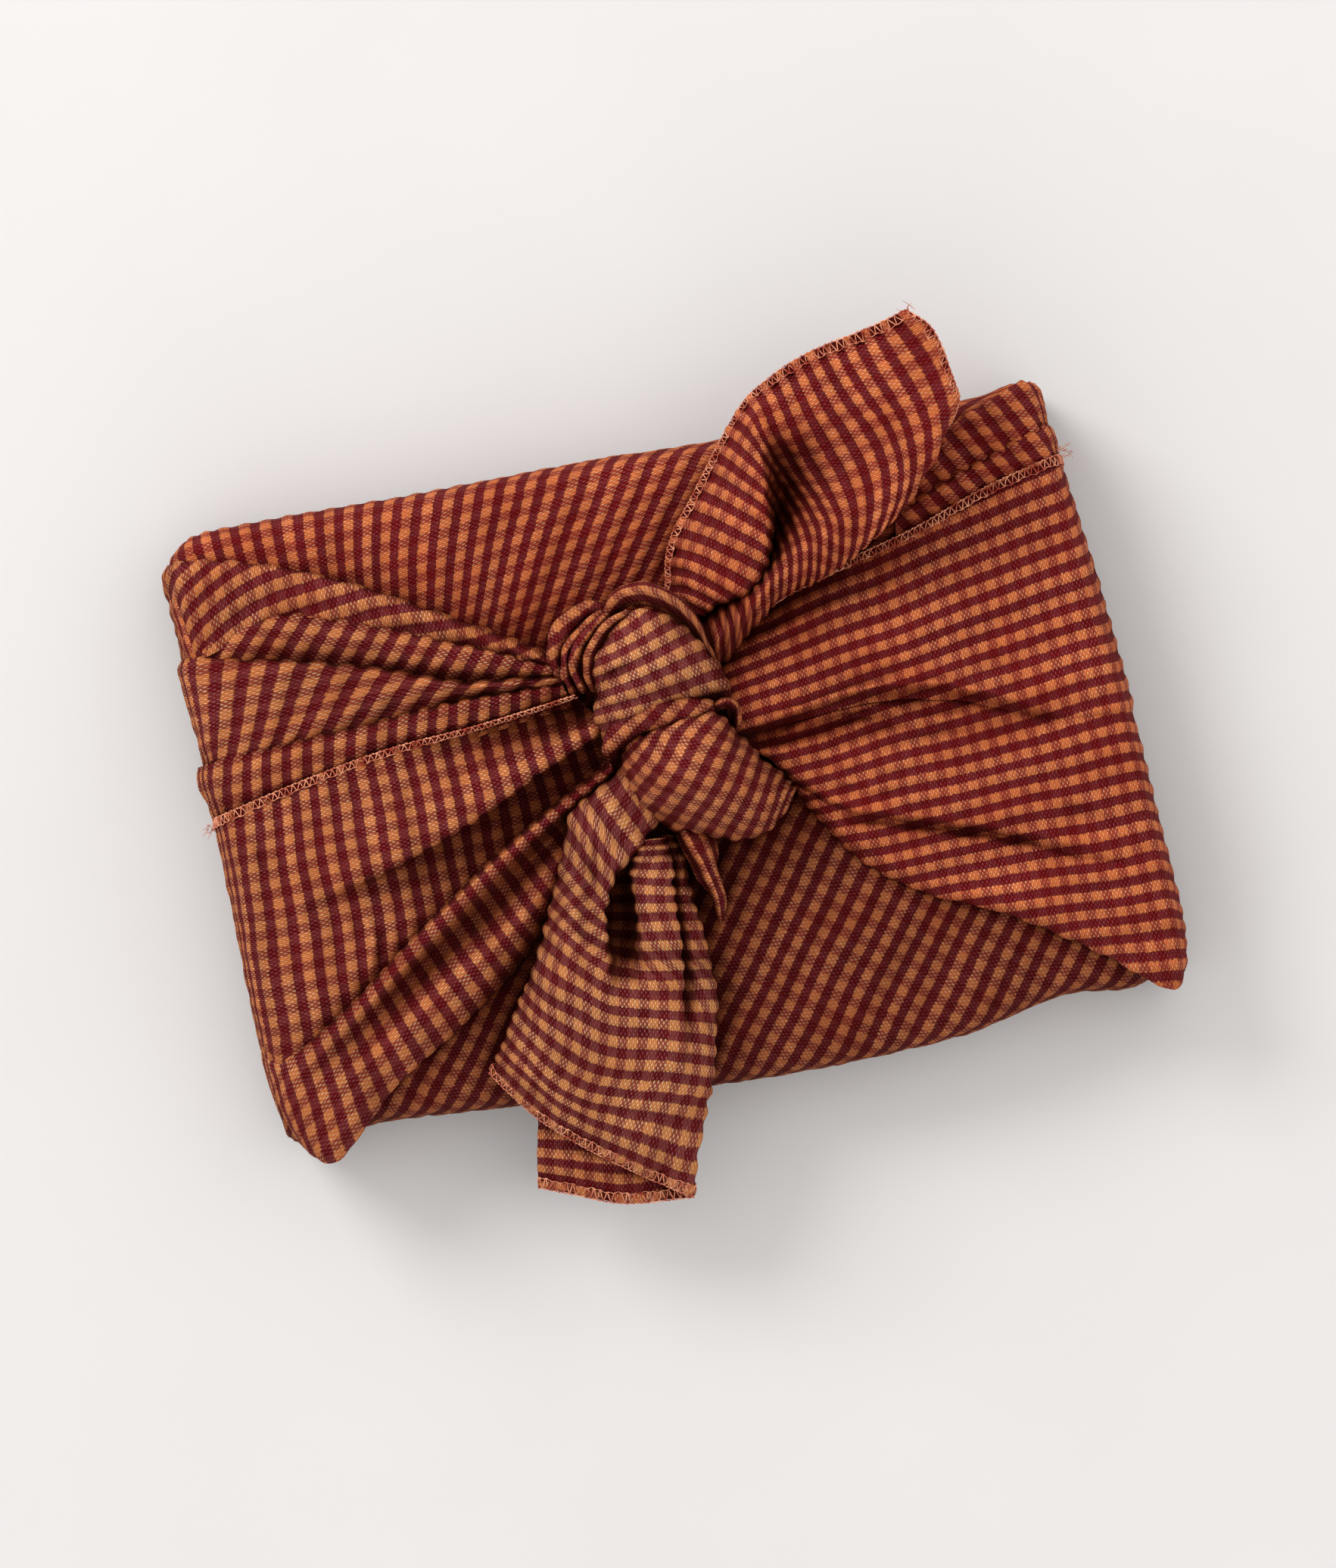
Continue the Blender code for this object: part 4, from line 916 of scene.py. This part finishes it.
def underside(material):
    """The cloth under the parcel, plain and flat."""
    ring = smooth_curve([*OUTLINE, OUTLINE[0]], 6)[0] * (1 - PROFILE[0][0] / np.array(HALF_SIZE))
    plan = ring[None] * np.linspace(1, 0.02, 12)[:, None, None]
    grid = np.concatenate([plan, np.full((*plan.shape[:2], 1), 0.05)], axis=2)
    declare(mesh_piece("underside", grid, faces_of(*grid.shape[:2]), material, plan), grid)


def drawn_flap(name, lines, stripes, material, relief):
    """A flap from its wall to the knot. Its stripes follow the measures that the stripes function gives."""
    grid, _, columns = surface(with_feet(lines))
    shoulder = columns[SHOULDER]
    down = np.maximum(-measured(grid, 1, shoulder), 0)
    flat_x = np.where(down > 0, grid[:, shoulder:shoulder + 1, 0] + np.sign(grid[..., 0]) * down, grid[..., 0])
    flat_y = np.where(down > 0, grid[:, shoulder:shoulder + 1, 1], grid[..., 1])
    lay(name, grid, *stripes(flat_x, flat_y), material, relief)
    return grid


def free_end(name, lines, material, seed_row=0, by_first_row=False, stripes_along=False):
    """A free end. Its columns follow the stripes, or its rows do, and its last column is its hem."""
    grid, places, _ = surface(list(lines.values()))
    from_hem = measured(grid, 1, grid.shape[1] - 1)
    middle = from_hem[:1] if by_first_row else from_hem.mean(axis=0, keepdims=True)
    across = np.broadcast_to(middle, from_hem.shape)
    along = measured(grid, 0, places[seed_row])
    if stripes_along:
        across, along = along, from_hem
    lay(name, grid, across, along, material)
    return grid


def over_upper_lobe(x, y):
    """The stripes over the upper lobe: level at its front, and rising to the right at its back."""
    lean = np.interp(y, (14, 38), (0.03, 0.3))
    return y - lean * (x - 10) - 0.95, x + 0.18 * y


def knot_lobe(name, rows, material, stripes=None):
    """A lobe of the knot, whose rows follow the stripes unless the stripes function places them."""
    grid, places, _ = surface(rows, 0.9)
    if stripes is None:
        across, along = measured(grid, 0, places[len(rows) // 2]), measured(grid, 1, grid.shape[1] // 2)
    else:
        across, along = stripes(grid[..., 0], grid[..., 1])
    lay(name, grid, across, along, material, 0.75)


def knot_band(name, depth, points, material):
    """A fold of the knot. Its stripes run along it, or seen from above rise to the right by its slant."""
    curve, _ = smooth_curve(points, 0.8)
    line, half_width = curve[:, :3], curve[:, 3]
    share = np.linspace(0, 1, len(line))
    ends = np.minimum(1, np.sqrt(np.minimum(share, 1 - share) * 7) * 0.55 + 0.45)
    ahead = unit(np.gradient(line, axis=0))
    side = unit(np.cross(ahead, (0, 0, 1)))
    up = np.cross(side, ahead)
    wrap = 0.62 * np.pi  # how far round the fold its cloth goes each way
    turn = np.linspace(-wrap, wrap, 20)
    sideways = (half_width[:, None] * np.sin(turn)[None])[..., None] * side[:, None]
    upwards = ((depth * ends)[:, None] * np.cos(turn)[None])[..., None] * up[:, None]
    grid = line[:, None] + sideways + upwards
    if name in SLANTS:
        lean = math.radians(SLANTS[name])
        across = grid[..., 1] * math.cos(lean) - grid[..., 0] * math.sin(lean)
        along = grid[..., 0] * math.cos(lean) + grid[..., 1] * math.sin(lean)
    else:
        across, along = measured(grid, 1, 10), measured(grid, 0, 0)
    lay(name, grid, across, along, material, 0.6)


def knot_core(material):
    """The cloth inside the knot, a low dome that closes the gaps between its lobes."""
    middle, half_size = (2, 8), (25, 31)
    # Rings of it: (share of its size, height).
    rings = ((0.06, 58), (0.3, 57.5), (0.55, 55.5), (0.78, 51.5), (0.92, 47), (1, 42))
    around = np.linspace(0, 2 * np.pi, 41)
    circle = np.stack([half_size[0] * np.cos(around), half_size[1] * np.sin(around)], axis=1)
    heights = np.ones(len(around))
    rows = [np.column_stack([middle + circle * share, heights * height]) for share, height in rings]
    grid, _, _ = surface(rows, 1.6)
    lay("knot_core", grid, grid[..., 0], grid[..., 1], material, 0.5)


def build_cloth():
    dyed_and_lit = {dye_and_light: woven_check(dye_and_light) for dye_and_light in DYES_AND_PAINTED_LIGHT}
    thread = sewing_thread()
    painted_shade_bed = shaded_edge()
    parcel_cloth(dyed_and_lit["deep"], dyed_and_lit["front_in_shade"])
    underside(dyed_and_lit["deep"])
    first_layer = swept((-160, -137, -120, -105, -90, -75, -55, -35),
                        (0.7, 0.7, 0.42, 0.2, 0.04, -0.08, -0.04, 0.3))
    along_parcel = lengthwise((137, 0), (-0.07, -0.0021))
    flaps = (
        # name, lines, stripes, dye and painted light, relief
        ("left_first_layer", LEFT_FIRST_LAYER, first_layer, "slubs_and_glint", 0.8),
        ("left_first_fold", LEFT_FIRST_FOLD, ruled((20, -0.35), (-0.93, 0)), "slubs_and_glint", 0.8),
        ("left_second_layer", LEFT_SECOND_LAYER, ruled((30, 0), (-2.45, -0.0155)), "slubs_and_glint", 0.8),
        ("left_pleat", LEFT_PLEAT, ruled((30, 0), (-0.25, 0)), "slubs_and_glint", 0.8),
        ("left_flap", LEFT_FLAP, ruled((0, 0), (0.128, 0.0018)), "slubs_and_glint", 0.6),
        ("left_roll", LEFT_ROLL, ruled((16, 0.6), (0.86, 0.006), 2.4), "slubs_and_glint", 0.4),
        ("corner_gather", CORNER_GATHER, ruled((80, 0), (0.55, 0)), "deep", 0.8),
        ("corner_tuck", CORNER_TUCK, ruled((70, 0), (0.6, 0)), "deep", 0.8),
        ("right_lower", RIGHT_LOWER, along_parcel, "deep", 0.6),
        ("right_middle", RIGHT_MIDDLE, along_parcel, "deep", 0.6),
        ("right_upper", RIGHT_UPPER, along_parcel, "deep", 0.6),
    )
    grids = {}
    for name, lines, stripes, dye_and_light, relief in flaps:
        grids[name] = drawn_flap(name, lines, stripes, dyed_and_lit[dye_and_light], relief)
    knot_core(dyed_and_lit["knotted"])
    knot_lobe("upper_lobe", UPPER_LOBE, dyed_and_lit["pale"], over_upper_lobe)
    knot_lobe("lower_lobe", LOWER_LOBE, dyed_and_lit["knotted"])
    for name, (depth, points) in KNOT_BANDS.items():
        knot_band(name, depth, points, dyed_and_lit["knotted"])
    back = free_end("back_end", BACK_END, dyed_and_lit["deep"], by_first_row=True)
    behind = free_end("front_end_back", FRONT_END_BACK, dyed_and_lit["slubs_and_glint"])
    front = free_end("front_end", FRONT_END, dyed_and_lit["pale"], seed_row=6)
    free_end("twisted_end", TWISTED_END, dyed_and_lit["knotted"], seed_row=1, stripes_along=True)
    hems = (
        # name, edge, widths at its ends
        ("left_flap", edge_of(grids["left_flap"]), (2.9, 1.4)),
        ("right_flap", edge_of(grids["right_upper"]), (3.1, 1.8)),
        ("back_end", edge_of(back), (2.6, 3.2)),
        ("back_end_side", edge_of(back, last_column=True), (2.6, 2.6)),
        ("front_end", edge_of(front, last_column=True), (2.8, 3.8)),
        ("front_end_back", edge_of(behind, last_column=True), (3.4, 3.4)),
    )
    for name, edge, widths in hems:
        overlock(name + "_overlock", edge, thread, widths)
        hem_bed_in_painted_shade(name + "_edge", edge, painted_shade_bed, widths)
    tufts = (
        # name, root, way out, how many, reach, seed
        ("back_end_threads", (96, 113.5, 70), (0.1, 1, 0.3), 16, 2.2, 3),
        ("right_flap_threads", (133.4, 64.8, 31), (1, 0.3, 0.1), 26, 2.2, 5),
        ("left_flap_threads", (-140.5, 10, 28), (-0.2, -1, 0), 20, 2.0, 7),
    )
    for settings in tufts:
        tuft(*settings, thread)


def light(name, place, size, power):
    right, up, height = place
    data = bpy.data.lights.new(name, "AREA")
    data.shape = "DISK"
    data.size = size * MM
    data.energy = power
    lamp = bpy.data.objects.new(name, data)
    x, y = in_frame(right, up)
    lamp.location = (x * MM, y * MM, height * MM)
    lamp.rotation_euler = (-lamp.location).to_track_quat("-Z", "Y").to_euler()
    bpy.context.scene.collection.objects.link(lamp)


def studio():
    bpy.ops.mesh.primitive_plane_add(size=6, location=(0, 0, 0))
    table = bpy.context.object
    table.name = "table"
    table.data.materials.append(painted_table())
    light("window", *WINDOW)
    light("fill", *FILL)
    world = bpy.data.worlds.new("studio")
    world.use_nodes = True
    background = world.node_tree.nodes["Background"]
    background.inputs["Color"].default_value = (1.0, 0.99, 0.98, 1)
    background.inputs["Strength"].default_value = SKY
    bpy.context.scene.world = world
    bpy.context.scene.view_settings.view_transform = "Standard"


def camera():
    """Straight above the middle of the photograph, with the parcel turned as it lies there."""
    right = (PHOTO_SIZE[0] / 2 - PARCEL_MIDDLE_PX[0]) / PX_PER_MM
    up = (PARCEL_MIDDLE_PX[1] - PHOTO_SIZE[1] / 2) / PX_PER_MM
    x, y = in_frame(right, up)
    data = bpy.data.cameras.new("camera")
    data.sensor_fit = "VERTICAL"
    data.sensor_height = SENSOR
    data.lens = SENSOR * (CAMERA_HEIGHT - PARCEL_TOP) / (PHOTO_SIZE[1] / PX_PER_MM)
    data.clip_end = 20
    eye = bpy.data.objects.new("camera", data)
    eye.location = (x * MM, y * MM, CAMERA_HEIGHT * MM)
    eye.rotation_euler = (0, 0, -math.radians(PARCEL_TURN))
    bpy.context.scene.collection.objects.link(eye)
    bpy.context.scene.camera = eye


build_cloth()
studio()
camera()
